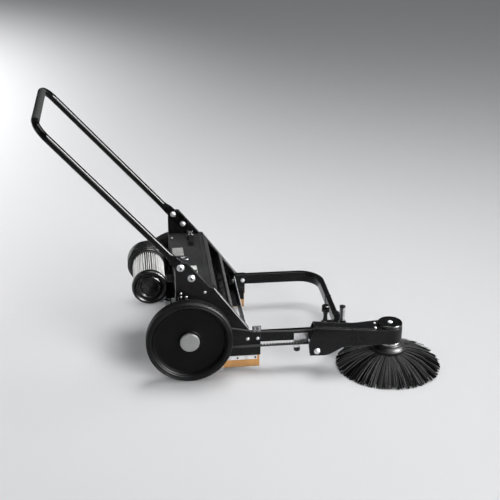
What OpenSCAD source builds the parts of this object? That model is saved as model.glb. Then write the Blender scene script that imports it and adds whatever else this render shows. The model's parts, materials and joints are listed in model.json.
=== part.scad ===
// Walk-behind push sweeper with one side brush and a rear cartridge filter.
// Forward is +X, the machine's left is +Y, up is +Z.  Millimetres.
// The origin is the middle of the bounding box, on the floor.

/* [Body] */
// Distance between the outer faces of the two side plates
body_w = 500; // [460:10:560]
// Thickness of the side plates
plate_t = 3; // [2:0.5:4]
// Height of the flat top cover
cover_z = 328; // [324:1:332]
// Height of the lower edge of the side plates
plate_low_z = 60; // [56:1:62]

/* [Wheels] */
// Outer radius of both tyres
tyre_r = 150; // [148:1:152]
// Width of both tyres
tyre_w = 46; // [40:1:50]
// Distance from the middle of the machine to the right tyre's inner face
right_tyre_in = 262; // [262:1:266]
// Distance from the middle of the machine to the left tyre's inner face
left_tyre_in = 304; // [303:1:310]
// Radius of the stub axles
axle_r = 10; // [8:1:12]

/* [Handle] */
// Rearmost position of the crossbar's centre line, behind the axle
handle_x = -470; // [-480:1:-455]
// Height of the crossbar's centre line
handle_z = 912; // [880:1:940]
// Outer radius of the handle tube
handle_r = 12.5; // [11:0.5:14]
// Distance from the middle of the machine to each leg's centre line
handle_y = 233; // [231:1:234]

/* [Main brush] */
// Outer radius of the main brush
main_brush_r = 95; // [90:1:95]
// Number of bristle rows around the core
main_rows = 12; // [8:1:16]

/* [Side brush] */
// Distance from the wheel axle to the side brush's centre
side_x = 706; // [690:1:715]
// Distance from the middle of the machine to the side brush's centre
side_y = -262; // [-264:1:-260]
// Outer radius of the side brush where it meets the floor
side_r = 186; // [170:1:200]

/* [Front frame] */
// Height of the front frame's rectangular tube
frame_h = 40; // [36:1:40]
// Width of the front frame's rectangular tube
frame_w = 20; // [18:1:20]
// Distance from the wheel axle to the front bar's outer face
frame_x = 547; // [540:1:555]

/* [Hidden] */
$fn = 48;
half_w = body_w / 2;
inner = half_w - plate_t;
axle_z = tyre_r;
grip_r = handle_r + 1.5;
run = 0.05;                       // running clearance of pins in their holes
brush_x = 80;                     // main brush axis, ahead of the wheel axle
brush_z = main_brush_r + 2;
lay_x = 20;                       // lay shaft of the fan drive
lay_z = 265;
fan_x = -126;                     // axis of the filter and the fan
fan_z = 286;
pivot_x = 441;                    // hinge of the side brush arm
pivot_z = 92;
lock_y = -135;                    // height lock on the front bar
frame_mid = inner - frame_w / 2;  // centre line of the frame's two arms
frame_low = 108;
frame_top = frame_low + frame_h;
bolt_1 = [-23, 408];              // handle bolts, side view
leg_dir = [handle_x - bolt_1[0], handle_z - bolt_1[1]];
bolt_gap = 54;
bolt_2 = bolt_1 - bolt_gap * leg_dir / norm(leg_dir);
frame_bolts = [205, 240];
frame_bolt_z = 125;
right_skirt_low = 13;
left_skirt_low = 3;
belt_low = 96.5;                  // lower run of the side brush belt
mid_x = (handle_x - grip_r + side_x + side_r) / 2;
mid_y = (side_y - side_r + left_tyre_in + tyre_w) / 2;

// ---------- helpers ----------

// The machine is drawn from the wheel axle; this moves it over the origin
module machine() translate([-mid_x, -mid_y, 0]) children();

// A flat shape drawn in side view, from y0 to y1
module side_view(y0, y1) translate([0, y1, 0]) rotate([90, 0, 0]) linear_extrude(y1 - y0) children();

// A round bar along Y
module bar_y(x, z, y0, y1, r) translate([x, y0, z]) rotate([-90, 0, 0]) cylinder(r = r, h = y1 - y0);

// A profile of [radius, y] points turned about an axis along Y
module turned(x, z, points) translate([x, 0, z]) rotate([-90, 0, 0]) rotate_extrude() polygon(points);

// A box from one corner to the opposite one
module box(a, b) translate(a) cube(b - a);

// Wheel coordinates: x and z from the axle, y outward from the tyre's inner face
module at_right_wheel() translate([0, -right_tyre_in, axle_z]) mirror([0, 1, 0]) children();
module at_left_wheel() translate([0, left_tyre_in, axle_z]) children();

// Both sides of the machine
module both_sides() {
  children();
  mirror([0, 1, 0]) children();
}

// Outline of a spur gear with straight-sided teeth; one tooth points at angle a0
function gear_points(teeth, pitch_r, a0) = [
  for (i = [0 : teeth - 1])
    for (p = [[-0.25, -2.5], [-0.12, 2], [0.12, 2], [0.25, -2.5]])
      let (a = a0 + (i + p[0]) * 360 / teeth)
      (pitch_r + p[1]) * [cos(a), sin(a)]
];

// A belt loop around two pulleys, drawn in side view
module loop_shape(c1, r1, c2, r2) {
  d = c2 - c1;
  a = atan2(d[1], d[0]);
  b = acos((r1 - r2) / norm(d));
  translate(c1) circle(r1);
  translate(c2) circle(r2);
  polygon([
    c1 + r1 * [cos(a + b), sin(a + b)], c2 + r2 * [cos(a + b), sin(a + b)],
    c2 + r2 * [cos(a - b), sin(a - b)], c1 + r1 * [cos(a - b), sin(a - b)]
  ]);
}
module belt_loop(c1, r1, c2, r2, t) difference() {
  loop_shape(c1, r1 + t, c2, r2 + t);
  loop_shape(c1, r1, c2, r2);
}

// A strip of sheet just inside the edge from p to q
function strip_points(p, q, t) =
  let (d = (q - p) / norm(q - p), n = [d[1], -d[0]]) [p, q, q + t * n, p + t * n];

// ---------- side plates ----------

ear_top = 425;
ear_r = 24;
rear_x = -42;
front_x = 250;
slope_top = [86, cover_z];
slope_low = [217, 150];

module plate_outline() difference() {
  union() {
    polygon([
      [rear_x, plate_low_z], [rear_x, ear_top - ear_r], [rear_x + ear_r, ear_top], [-2, ear_top - 1],
      [76, cover_z], slope_top, slope_low, [222, frame_top], [front_x, frame_top], [front_x, plate_low_z]
    ]);
    translate([rear_x + ear_r, ear_top - ear_r]) circle(ear_r);
  }
  translate([0, axle_z]) circle(axle_r + 0.3);
  translate(bolt_1) circle(5.2);
  translate(bolt_2) circle(5.2);
  for (x = frame_bolts) translate([x, frame_bolt_z]) circle(3.2);
}

// Drawn for the left side; the folded flanges point inward
module plate_sheet(holes, strip_low) {
  difference() {
    side_view(inner, half_w) plate_outline();
    side_view(inner - 1, half_w + 1) for (h = holes) translate([h[0], h[1]]) circle(h[2]);
  }
  side_view(inner - 14, inner) polygon(strip_points([0, ear_top - 4], [74, cover_z + 2.5], 3));
  side_view(inner - 27, inner) polygon(strip_points(slope_top + [2, -4], slope_low + [-6, 8], 3));
  // strip that clamps the skirt from inside, with a flap behind the skirt
  box([-34, inner - 7, 37], [front_x - 4, inner - 4, plate_low_z + 18]);
  box([-34, inner - 7, strip_low], [230, inner - 4, 38]);
}

module right_plate() machine() color([0.07, 0.07, 0.075])
  mirror([0, 1, 0]) plate_sheet([], right_skirt_low + 4);

module left_plate() machine() color([0.07, 0.07, 0.075])
  plate_sheet([[brush_x, brush_z, 9], [lay_x, lay_z, 7]], left_skirt_low + 4);

// ---------- sheet metal between the plates ----------

module top_cover() machine() color([0.16, 0.16, 0.17]) {
  box([rear_x + 3, -inner, cover_z - 3], [slope_top[0] - 3, inner, cover_z]);
  // front lip, folded down along the slope
  side_view(-inner + 28, inner - 28) polygon(strip_points(slope_top - [3, 0], [103, 301], 3));
}

module rear_wall() machine() color([0.07, 0.07, 0.075]) difference() {
  box([rear_x, -inner, plate_low_z], [rear_x + 2.5, inner, cover_z]);
  // slot for the fan belt
  box([rear_x - 1, 131, 240], [rear_x + 4, 149, 312]);
}

module front_panel() machine() color([0.07, 0.07, 0.075]) difference() {
  side_view(-inner, inner) polygon(strip_points([205, 152], [213, plate_low_z], 3));
  // clear of the skirts' clamping strips and of the front frame's arms
  both_sides() {
    box([200, inner - 8, plate_low_z - 1], [220, inner + 1, plate_low_z + 19]);
    box([195, inner - frame_w - 8, frame_low - 0.5], [220, inner + 1, frame_top + 10]);
  }
}

module mouth_strip() machine() color([0.2, 0.2, 0.2])
  side_view(-inner + 28, inner - 28) polygon(strip_points([145, 249], [155, 236], 8));

module brush_hood() machine() color([0.06, 0.06, 0.06])
  translate([brush_x, inner - 6.5, brush_z]) rotate([90, 0, 0]) linear_extrude(2 * inner - 13) difference() {
    circle(108);
    circle(106);
    // the hood covers the brush from its rear edge up to the mouth
    translate([-200, -400]) square([400, 400]);
    polygon([[0, -1], [62, 106], [300, 106], [300, -1]]);
  }

// ---------- handle ----------

leg_angle = atan2(leg_dir[1], -leg_dir[0]);
leg_len = norm(leg_dir);
bend_r = 55;
leg_start = 42;

// Handle frame: local x runs up the legs from bolt 1
module at_handle() translate([bolt_1[0], 0, bolt_1[1]]) rotate([0, 180 + leg_angle, 0]) mirror([0, 0, 1]) children();

// Half of the U-shaped tube, drawn on the +Y side, as a solid rod of radius r
module half_handle(r, extra) {
  translate([leg_start - extra, handle_y, 0]) rotate([0, 90, 0])
    cylinder(r = r, h = leg_len - bend_r - leg_start + extra);
  translate([leg_len - bend_r, handle_y - bend_r, 0])
    rotate_extrude(angle = 90) translate([bend_r, 0]) circle(r);
  translate([leg_len, -extra, 0]) rotate([-90, 0, 0]) cylinder(r = r, h = handle_y - bend_r + extra);
}

// Flattened and drilled end of a leg
module leg_end() difference() {
  union() {
    translate([0, inner - 5, 0]) rotate([-90, 0, 0]) cylinder(r = 17, h = 5);
    translate([-bolt_gap, inner - 5, 0]) rotate([-90, 0, 0]) cylinder(r = 17, h = 5);
    translate([-bolt_gap, inner - 5, -17]) cube([bolt_gap + 18, 5, 34]);
    hull() {
      translate([12, inner - 5, -17]) cube([4, 5, 34]);
      translate([leg_start - 1, handle_y, 0]) rotate([0, 90, 0]) cylinder(r = handle_r, h = 1, $fn = 32);
    }
  }
  translate([0, inner - 6, 0]) rotate([-90, 0, 0]) cylinder(r = 5.2, h = 7);
  translate([-bolt_gap, inner - 6, 0]) rotate([-90, 0, 0]) cylinder(r = 5.2, h = 7);
}

module handle_tube() machine() color([0.05, 0.05, 0.055]) at_handle() {
  difference() {
    both_sides() half_handle(handle_r, 0);
    both_sides() half_handle(handle_r - 2, 1);
  }
  both_sides() leg_end();
}

module handle_grip() machine() color([0.22, 0.22, 0.23]) at_handle() difference() {
  bar_y(leg_len, 0, -handle_y + bend_r, handle_y - bend_r, grip_r);
  bar_y(leg_len, 0, -handle_y, handle_y, handle_r);
}

// Round-headed bolt along Y through the plate and the leg, with washer and nut
module handle_bolt(p) {
  bar_y(p[0], p[1], inner - 8, half_w + 2, 5);
  bar_y(p[0], p[1], half_w, half_w + 2, 13);
  turned(p[0], p[1], [[0, half_w + 2], [10.5, half_w + 2], [10, half_w + 5], [7, half_w + 7], [0, half_w + 7.6]]);
  bar_y(p[0], p[1], inner - 7, inner - 5, 11);
  translate([p[0], inner - 13, p[1]]) rotate([-90, 0, 0]) cylinder(r = 9.5, h = 6, $fn = 6);
}

module handle_bolts() machine() color([0.78, 0.78, 0.8]) both_sides() {
  handle_bolt(bolt_1);
  handle_bolt(bolt_2);
}

// ---------- front frame ----------

frame_bend = 85;

// The frame's bar as a solid, shrunk by s on each face, from x0 to the middle of the front bar
module half_frame(s, x0) {
  w = frame_w - 2 * s;
  h = frame_h - 2 * s;
  corner_x = frame_x - frame_w / 2 - frame_bend;
  translate([x0, frame_mid - w / 2, frame_low + s]) cube([corner_x - x0, w, h]);
  translate([corner_x, frame_mid - frame_bend, frame_low + s])
    rotate_extrude(angle = 90) translate([frame_bend - w / 2, 0]) square([w, h]);
  translate([frame_x - frame_w + s, -s, frame_low + s]) cube([w, frame_mid - frame_bend + s, h]);
}

module front_frame() machine() color([0.06, 0.06, 0.065]) difference() {
  both_sides() half_frame(0, 188);
  both_sides() half_frame(2, 187);
  both_sides() for (x = frame_bolts) bar_y(x, frame_bolt_z, frame_mid - 12, frame_mid + 12, 3.2);
  // seam at the middle of the front bar
  box([frame_x - frame_w - 1, 12, frame_top - 0.6], [frame_x + 1, 16, frame_top + 1]);
}

module frame_bolts() machine() color([0.8, 0.8, 0.82]) both_sides() for (x = frame_bolts) {
  bar_y(x, frame_bolt_z, inner - frame_w - 7, half_w + 1, 3);
  bar_y(x, frame_bolt_z, half_w, half_w + 1, 6);
  turned(x, frame_bolt_z, [[0, half_w + 1], [5, half_w + 1], [4.6, half_w + 3.4], [0, half_w + 4.2]]);
  bar_y(x, frame_bolt_z, inner - frame_w - 1.5, inner - frame_w, 8);
  translate([x, inner - frame_w - 7, frame_bolt_z]) rotate([-90, 0, 0]) cylinder(r = 6, h = 5.5, $fn = 6);
}

// ---------- axles and bearings ----------

hub_end = 35;       // outer end of a hub, in wheel coordinates
axle_end = 35.4;

module stub_axle(tyre_in) {
  bar_y(0, axle_z, inner - 6, tyre_in + axle_end, axle_r);
  bar_y(0, axle_z, inner - 6, inner, 32);
  bar_y(0, axle_z, half_w, half_w + 1, 16);
}

module stub_axles() machine() color([0.6, 0.6, 0.62]) {
  stub_axle(left_tyre_in);
  mirror([0, 1, 0]) stub_axle(right_tyre_in);
}

module axle_nut() {
  bar_y(0, 0, axle_end, axle_end + 1.6, 15);
  translate([0, axle_end + 1.6, 0]) rotate([-90, 0, 0]) cylinder(r = 11, h = 5, $fn = 6);
}

module axle_nuts() machine() color([0.75, 0.75, 0.77]) {
  at_right_wheel() axle_nut();
  at_left_wheel() axle_nut();
}

module bearing(x, z, y0, y1, bore, r) difference() {
  union() {
    bar_y(x, z, y0, y1, r);
    bar_y(x, z, y0, y0 + 3, r + 9);
  }
  bar_y(x, z, y0 - 1, y1 + 1, bore + run);
}

module shaft_bearings() machine() color([0.35, 0.35, 0.37]) {
  bearing(brush_x, brush_z, half_w, half_w + 12, 8, 16);
  mirror([0, 1, 0]) difference() {
    bar_y(brush_x, brush_z, inner - 9, inner, 18);
    bar_y(brush_x, brush_z, inner - 10, inner - 2, 8 + run);
  }
  // lay shaft: a hanger under the cover and a bearing on the left plate
  difference() {
    box([4, 116, lay_z - 16], [36, 122, cover_z - 3]);
    bar_y(lay_x, lay_z, 110, 130, 6 + run);
  }
  difference() {
    bar_y(lay_x, lay_z, inner - 8, inner, 18);
    bar_y(lay_x, lay_z, inner - 9, inner + 1, 6 + run);
  }
}

// ---------- skirts ----------

// One side skirt, drawn for the left side
module side_skirt(low) box([-36, inner - 4, low], [front_x - 3, inner, plate_low_z + 14]);

module side_skirts() machine() color([0.76, 0.5, 0.25]) {
  side_skirt(left_skirt_low);
  mirror([0, 1, 0]) side_skirt(right_skirt_low);
}

module rear_skirt() machine() color([0.76, 0.5, 0.25])
  box([rear_x - 4, -inner + 1, 8], [rear_x, inner - 1, plate_low_z + 18]);

module skirt_clamps() machine() color([0.72, 0.73, 0.75]) {
  both_sides() box([-30, inner, 43], [238, half_w - 0.4, plate_low_z - 1.6]);
  box([rear_x - 6, -inner + 1, plate_low_z + 2], [rear_x - 4, inner - 1, plate_low_z + 16]);
}

module skirt_screws() machine() color([0.5, 0.5, 0.52]) {
  both_sides() for (x = [-20 : 63 : 232]) bar_y(x, 51, half_w - 0.4, half_w + 2, 3.5);
  for (y = [-220 : 88 : 220]) translate([rear_x - 8, y, plate_low_z + 9]) rotate([0, 90, 0]) cylinder(r = 4, h = 2);
}

module skirt_ring() machine() color([0.7, 0.7, 0.72]) {
  // ring in a small eye on the right-hand clamp
  translate([113, -half_w - 3.4, 16]) rotate([90, 0, 0]) rotate_extrude() translate([6, 0]) circle(1.2);
  translate([113, -half_w - 3.4, 21.8]) cylinder(r = 1.5, h = 22);
  box([110, -half_w - 5, 43], [116, -half_w + 0.4, 46]);
}

// ---------- small parts on the plates and the cover ----------

module screw_head(x, z, r) turned(x, z, [[0, half_w], [r, half_w], [0.9 * r, half_w + 1.6], [0, half_w + 2.2]]);

module plate_screws() machine() color([0.7, 0.7, 0.72]) {
  both_sides() {
    screw_head(58, 313, 5);
    screw_head(-24, 312, 4);
    screw_head(-24, 299, 4);
    screw_head(-6, 298, 5);
  }
  for (y = [-200, -70, 200]) translate([rear_x + 10, y, cover_z]) cylinder(r = 4, h = 1.6);
}

module cover_labels() machine() color([0.8, 0.8, 0.8]) {
  box([-36, 34, cover_z], [4, 104, cover_z + 0.6]);
  box([3, -118, cover_z], [43, -60, cover_z + 0.6]);
}

module cover_ring() machine() color([0.7, 0.7, 0.72]) {
  translate([7, 6, cover_z + 1.4]) rotate_extrude() translate([12, 0]) circle(1.4);
  translate([-8, 8, cover_z]) cylinder(r = 3, h = 5);
}

module latch_base() machine() color([0.75, 0.75, 0.77]) {
  box([26, 176, cover_z], [50, 226, cover_z + 2]);
  for (x = [26, 46.5]) box([x, 176, cover_z + 2], [x + 3.5, 192, cover_z + 16]);
  translate([26, 184, cover_z + 10]) rotate([0, 90, 0]) cylinder(r = 2.5, h = 24);
  // draw hook
  box([35, 196, cover_z + 2], [41, 228, cover_z + 6]);
  // keeper with two screws near the left plate
  box([26, 228, cover_z], [50, 244, cover_z + 9]);
  for (x = [32, 44]) translate([x, 236, cover_z + 9]) cylinder(r = 4, h = 2);
}

module latch_lever() machine() color([0.06, 0.06, 0.06]) {
  difference() {
    union() {
      translate([29.9, 184, cover_z + 10]) rotate([0, 90, 0]) cylinder(r = 6, h = 16.2);
      box([30.2, 126, cover_z + 8], [45.8, 184, cover_z + 15]);
    }
    translate([20, 184, cover_z + 10]) rotate([0, 90, 0]) cylinder(r = 2.5 + run, h = 40);
  }
  box([28, 118, cover_z + 6], [48, 134, cover_z + 17]);
}

// ---------- dust filter and fan ----------

module fan_housing() machine() color([0.07, 0.07, 0.07]) difference() {
  turned(fan_x, fan_z, [
    [30, 54], [59, 54], [61, 50], [64, 50], [65, 54], [69, 54], [70, 58], [73, 58], [75, 60],
    [75, 110], [72, 112], [6 + run, 112], [6 + run, 104], [64, 104], [64, 62], [30, 62]
  ]);
  // outlet low on the side away from the body
  box([fan_x - 90, 70, fan_z - 60], [fan_x - 60, 96, fan_z - 34]);
}

module fan_bracket() machine() color([0.07, 0.07, 0.07]) difference() {
  box([-84, 56, 236], [rear_x, 108, 322]);
  bar_y(fan_x, fan_z, 50, 112, 75);
}

module fan_impeller() machine() color([0.5, 0.5, 0.5]) {
  bar_y(fan_x, fan_z, 94, 98, 60);
  bar_y(fan_x, fan_z, 72, 94, 14);
  for (i = [0 : 7]) translate([fan_x, 68, fan_z]) rotate([0, 45 * i, 0]) box([13, 0, -1.5], [59, 26, 1.5]);
  bar_y(fan_x, fan_z, 98, 152, 6);
  bar_y(fan_x, fan_z, 134.6, 146, 12);
  bar_y(fan_x, fan_z, 133, 134.6, 16);
  bar_y(fan_x, fan_z, 146, 147.6, 16);
}

pleats = 44;
module filter_cartridge() machine() color([0.92, 0.92, 0.9])
  translate([fan_x, 50, fan_z]) rotate([90, 0, 0]) linear_extrude(168) difference() {
    polygon([for (i = [0 : 2 * pleats - 1]) (i % 2 == 0 ? 57.5 : 48) * [cos(180 * i / pleats), sin(180 * i / pleats)]]);
    circle(40);
  }

module filter_cap() machine() color([0.06, 0.06, 0.06])
  turned(fan_x, fan_z, [
    [0, -134], [24, -133], [34, -132], [36, -138], [40, -138], [43, -133], [48, -133], [52, -138],
    [57, -140], [61, -138], [62.5, -134], [62.5, -119], [61.5, -118], [0, -118]
  ]);

clip_x = -61;
clip_z = 234;
module filter_cradle() machine() color([0.07, 0.07, 0.07]) {
  difference() {
    box([-72, -128, clip_z + 4], [rear_x, -64, 300]);
    bar_y(fan_x, fan_z, -140, 60, 62.5);
  }
  // ears that hold the clip
  for (y = [-128, -94]) difference() {
    box([clip_x - 5, y, clip_z - 6], [clip_x + 5, y + 4, clip_z + 8]);
    bar_y(clip_x, clip_z, y - 1, y + 5, 3 + run);
  }
}

module filter_clip() machine() {
  color([0.8, 0.8, 0.82]) {
    bar_y(clip_x, clip_z, -128, -90, 3);
    box([-98, -117.5, clip_z - 2.5], [clip_x + 1, -100, clip_z + 0.5]);
  }
  color([0.06, 0.06, 0.06]) box([-104, -117.5, clip_z - 14], [-80, -97, clip_z - 2.5]);
}

fan_belt_y = [135.4, 145.2];
wheel_belt_y = [254, 262];
wheel_pulley_r = 55;
lay_small_r = 18;
lay_large_r = 30;

module fan_drive_belts() machine() color([0.08, 0.08, 0.08]) {
  side_view(wheel_belt_y[0], wheel_belt_y[1])
    belt_loop([0, axle_z], wheel_pulley_r + 0.4, [lay_x, lay_z], lay_small_r + 0.4, 3);
  side_view(fan_belt_y[0], fan_belt_y[1])
    belt_loop([lay_x, lay_z], lay_large_r + 0.4, [fan_x, fan_z], 12.4, 3);
}

module lay_shaft() machine() color([0.55, 0.55, 0.57]) {
  bar_y(lay_x, lay_z, 112, 266, 6);
  bar_y(lay_x, lay_z, 134.8, 145.8, lay_large_r);
  bar_y(lay_x, lay_z, 253.4, 262.6, lay_small_r);
}

// ---------- side brush drive ----------

side_pulley_r = 50;
belt_near = -right_tyre_in + 2.6;
belt_far = -half_w - 3;
upper_bend = [236, 153];
upper_end = [428, 146.5];
belt_end_x = 428;

module side_belt_rear() machine() color([0.08, 0.08, 0.08]) side_view(belt_near, belt_far) {
  // wrap around the wheel pulley
  difference() {
    translate([0, axle_z]) circle(side_pulley_r + 3.5);
    translate([0, axle_z]) circle(side_pulley_r);
    polygon([[0, axle_z], [13, axle_z + 80], [90, axle_z + 80], [90, axle_z - 80], [0, axle_z - 80]]);
  }
  // lower run with teeth on its inner side, and the upper run under the guide rollers
  translate([0, belt_low]) square([belt_end_x, 3.5]);
  for (x = [50 : 11 : 420]) translate([x, belt_low + 3.4]) square([7, 2.6]);
  polygon([[7.8, 199.4], upper_bend, upper_end, upper_end + [0, 3.5], upper_bend + [0, 3.5], [8.4, 202.9]]);
}

module belt_guides() machine() color([0.78, 0.78, 0.8]) {
  box([221, -inner, frame_top], [252, -inner + 2.5, 172]);
  for (x = [228, 242]) {
    bar_y(x, 162, belt_near - 1, -inner, 4);
    bar_y(x, 162, belt_near - 2.4, belt_near - 1, 5);
  }
}

module right_pulley() machine() color([0.3, 0.3, 0.32]) difference() {
  union() {
    bar_y(0, axle_z, -261.2, -251.4, side_pulley_r - 0.4);
    bar_y(0, axle_z, -252.2, -251.4, 57);
    bar_y(0, axle_z, -261.2, -260.4, 57);
  }
  bar_y(0, axle_z, -270, -240, 24);
}

// ---------- wheels ----------

module tyre() turned(0, 0, [
  [125, 0], [144, 0], [148, 2], [tyre_r, 6], [tyre_r, tyre_w - 6], [148, tyre_w - 2], [144, tyre_w],
  [133, tyre_w], [130, tyre_w - 2], [129, tyre_w - 6], [125, tyre_w - 6]
]);

// Wheel disc: dished web, rim and a hub tube that starts at y = start
module disc(start) difference() {
  turned(0, 0, [
    [axle_r + run, start], [24, start], [24, 24], [60, 28], [108, 28], [114, 3], [125, 3],
    [125, tyre_w - 6], [118, tyre_w - 8], [112, 33], [36, 33], [34, 34], [30, hub_end], [axle_r + run, hub_end]
  ]);
}

module hub_cap() turned(0, 0, [[0, 43], [31, 43], [31, 34.9], [34, 34.9], [34, 45], [33, tyre_w], [0, tyre_w]]);

module right_tyre() machine() color([0.05, 0.05, 0.05]) at_right_wheel() tyre();
module right_disc() machine() color([0.08, 0.08, 0.08]) at_right_wheel() disc(-10.6);
module right_hub_cap() machine() color([0.62, 0.62, 0.62]) at_right_wheel() hub_cap();
module left_tyre() machine() color([0.05, 0.05, 0.05]) at_left_wheel() tyre();
module left_disc() machine() color([0.08, 0.08, 0.08]) at_left_wheel() disc(-52.6);
module left_hub_cap() machine() color([0.62, 0.62, 0.62]) at_left_wheel() hub_cap();

mesh_angle = atan2(brush_z - axle_z, brush_x);
gear_dist = norm([brush_x, brush_z - axle_z]);
gear_r = gear_dist * 0.75;
pinion_r = gear_dist * 0.25;
gear_y = [271, 282];

module left_gear() machine() color([0.4, 0.4, 0.42]) {
  difference() {
    side_view(gear_y[0], gear_y[1]) translate([0, axle_z]) polygon(gear_points(72, gear_r, mesh_angle));
    bar_y(0, axle_z, 260, 290, 24);
  }
  difference() {
    union() {
      bar_y(0, axle_z, 253.2, 262.8, wheel_pulley_r);
      bar_y(0, axle_z, 262.8, 264.4, wheel_pulley_r + 5);
    }
    bar_y(0, axle_z, 250, 270, 24);
  }
}

// ---------- main brush ----------

module brush_core() machine() color([0.12, 0.12, 0.12]) difference() {
  bar_y(brush_x, brush_z, -234, 234, 30);
  bar_y(brush_x, brush_z, -240, 240, 8);
}

module brush_bristles() machine() color([0.1, 0.1, 0.1])
  translate([brush_x, 232, brush_z]) rotate([90, 0, 0]) linear_extrude(464) difference() {
    intersection() {
      circle(main_brush_r);
      for (i = [0 : main_rows - 1]) rotate(i * 360 / main_rows + 7) translate([0, -3]) square([main_brush_r + 5, 6]);
    }
    circle(30);
  }

module brush_shaft() machine() color([0.55, 0.55, 0.57]) {
  bar_y(brush_x, brush_z, -inner + 2.4, 284, 8);
  difference() {
    side_view(gear_y[0], gear_y[1]) translate([brush_x, brush_z])
      polygon(gear_points(24, pinion_r, mesh_angle + 180 + 7.5));
    bar_y(brush_x, brush_z, 260, 290, 8);
  }
}

// ---------- side brush arm ----------

arm_rear = 411;
arm_near = side_y - 44;
arm_wide = -half_w + 1;
boss_r = 44;
cap_z = 158;
arm_flat_x = 661;           // ahead of here the top is level
arm_fall = 0.1009;          // slope of the top behind it

function ease(s) = s * s * (3 - 2 * s);

// Plan of the arm's cover, shrunk by s
module arm_plan(s) {
  translate([side_x, side_y]) circle(boss_r - s);
  polygon(concat(
    [[arm_rear - 1, arm_wide - s], [arm_rear - 1, arm_near + s], [side_x, arm_near + s], [side_x, side_y + boss_r - s]],
    [for (i = [0 : 8]) [690 - 130 * i / 8, side_y + boss_r - 1 - s - (side_y + boss_r - 1 - arm_wide) * ease(i / 8)]]
  ));
}

// Height of the arm's top at x
function arm_top(x) = cap_z + arm_fall * max(0, arm_flat_x - x);

// Side view of the arm
module arm_side() polygon(concat(
  [[416, 76], [arm_rear, 116], [417, 138], [433, arm_top(433)], [arm_flat_x, cap_z], [760, cap_z]],
  [[760, 102], [651, 104]],
  [for (i = [0 : 8]) [549 - 81 * i / 8, 74 + 31 * ease(1 - i / 8)]]
));

module arm_cover() machine() color([0.06, 0.06, 0.065]) {
  difference() {
    intersection() {
      translate([0, 0, 70]) linear_extrude(115) arm_plan(0);
      side_view(arm_near - 1, -200) arm_side();
    }
    // hollow, open underneath and at the rear end
    intersection() {
      translate([0, 0, 60]) linear_extrude(130) arm_plan(3);
      side_view(arm_near, -200)
        polygon([[400, 60], [400, arm_top(400) - 3], [arm_flat_x, cap_z - 3], [760, cap_z - 3], [760, 60]]);
    }
    // open towards the frame's right arm
    box([400, arm_near + 3, 60], [560, -200, 159.5]);
    bar_y(pivot_x, pivot_z, arm_near - 5, arm_near + 5, 6 + run);
  }
  // bearing housing under the boss
  translate([side_x, side_y, 128]) difference() {
    cylinder(r = 18, h = cap_z - 130);
    translate([0, 0, -1]) cylinder(r = 8 + run, h = 20);
  }
}

module arm_cap() machine() color([0.03, 0.03, 0.03]) {
  translate([side_x, side_y, 0]) rotate_extrude()
    polygon([for (p = [[0, 0], [42, 0], [44, 2.5], [44, 8], [41, 12], [14, 11], [0, 11]]) [p[0], cap_z + p[1]]]);
  color([0.75, 0.75, 0.77]) translate([side_x, side_y, cap_z + 11]) cylinder(r = 8, h = 3);
}

hub_pulley_r = 20;

// The belt's front end, around the pulley; it twists into its upright runs behind its open end
module side_belt_front() machine() color([0.08, 0.08, 0.08])
  translate([side_x, side_y, 112]) linear_extrude(7) polygon(concat(
    [[-210, 2]],
    [for (a = [90 : -15 : -90]) (hub_pulley_r + 3.9) * [cos(a), sin(a)]],
    [[-210, -22], [-210, -19]],
    [for (a = [-90 : 15 : 90]) (hub_pulley_r + 0.6) * [cos(a), sin(a)]],
    [[-210, -1]]
  ));

module side_spindle() machine() color([0.72, 0.72, 0.74]) translate([side_x, side_y, 0]) {
  translate([0, 0, 64]) cylinder(r = 8, h = 82);
  translate([0, 0, 110]) cylinder(r = hub_pulley_r, h = 11);
  // collar above the brush
  translate([0, 0, 90]) cylinder(r = 38, h = 7);
}

module side_disc() machine() color([0.1, 0.1, 0.1]) translate([side_x, side_y, 0]) difference() {
  rotate_extrude() polygon([[0, 62], [56, 62], [59, 66], [59, 75], [56, 78], [46, 84], [41, 90], [0, 90]]);
  translate([0, 0, 64]) cylinder(r = 8, h = 30);
}

module side_bristles() machine() color([0.09, 0.09, 0.09]) translate([side_x, side_y, 0]) rotate_extrude($fn = 72)
  polygon([[34, 62], [56, 62], [70, 60], [126, 34], [side_r, 4], [side_r, 0], [166, 0], [100, 30], [40, 56]]);

// ---------- arm hinge, height stop and lock ----------

module arm_bracket() machine() color([0.07, 0.07, 0.075]) difference() {
  union() {
    box([424, -half_w, 78], [458, -inner, frame_top]);
    bar_y(pivot_x, pivot_z, arm_near + 3.4, -half_w, 11);
  }
  bar_y(pivot_x, pivot_z, arm_near, -inner + 1, 6.2);
}

module arm_pivot_bolt() machine() color([0.78, 0.78, 0.8]) {
  bar_y(pivot_x, pivot_z, arm_near - 2, -inner + 8, 6);
  bar_y(pivot_x, pivot_z, arm_near - 2, arm_near - 0.4, 11);
  mirror([0, 1, 0]) turned(pivot_x, pivot_z, [[0, 2 - arm_near], [9, 2 - arm_near], [8.6, 5 - arm_near], [6, 7 - arm_near], [0, 7.5 - arm_near]]);
  translate([pivot_x, -inner, pivot_z]) rotate([-90, 0, 0]) cylinder(r = 10, h = 8, $fn = 6);
}

stop_x = 381;
module stop_clamp() machine() color([0.76, 0.76, 0.78]) {
  box([368, -half_w + 1, 99], [420, -inner, 136]);
  box([368, -half_w + 1, 81], [376, -inner, 99]);
  difference() {
    box([368, -half_w + 1, frame_low - 3], [420, -inner + frame_w, frame_low]);
    translate([stop_x, -frame_mid, frame_low - 5]) cylinder(r = 4 + run, h = 10);
  }
  for (x = [384, 408]) bar_y(x, 122, -half_w - 1, -half_w + 1, 3.5);
}

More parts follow.
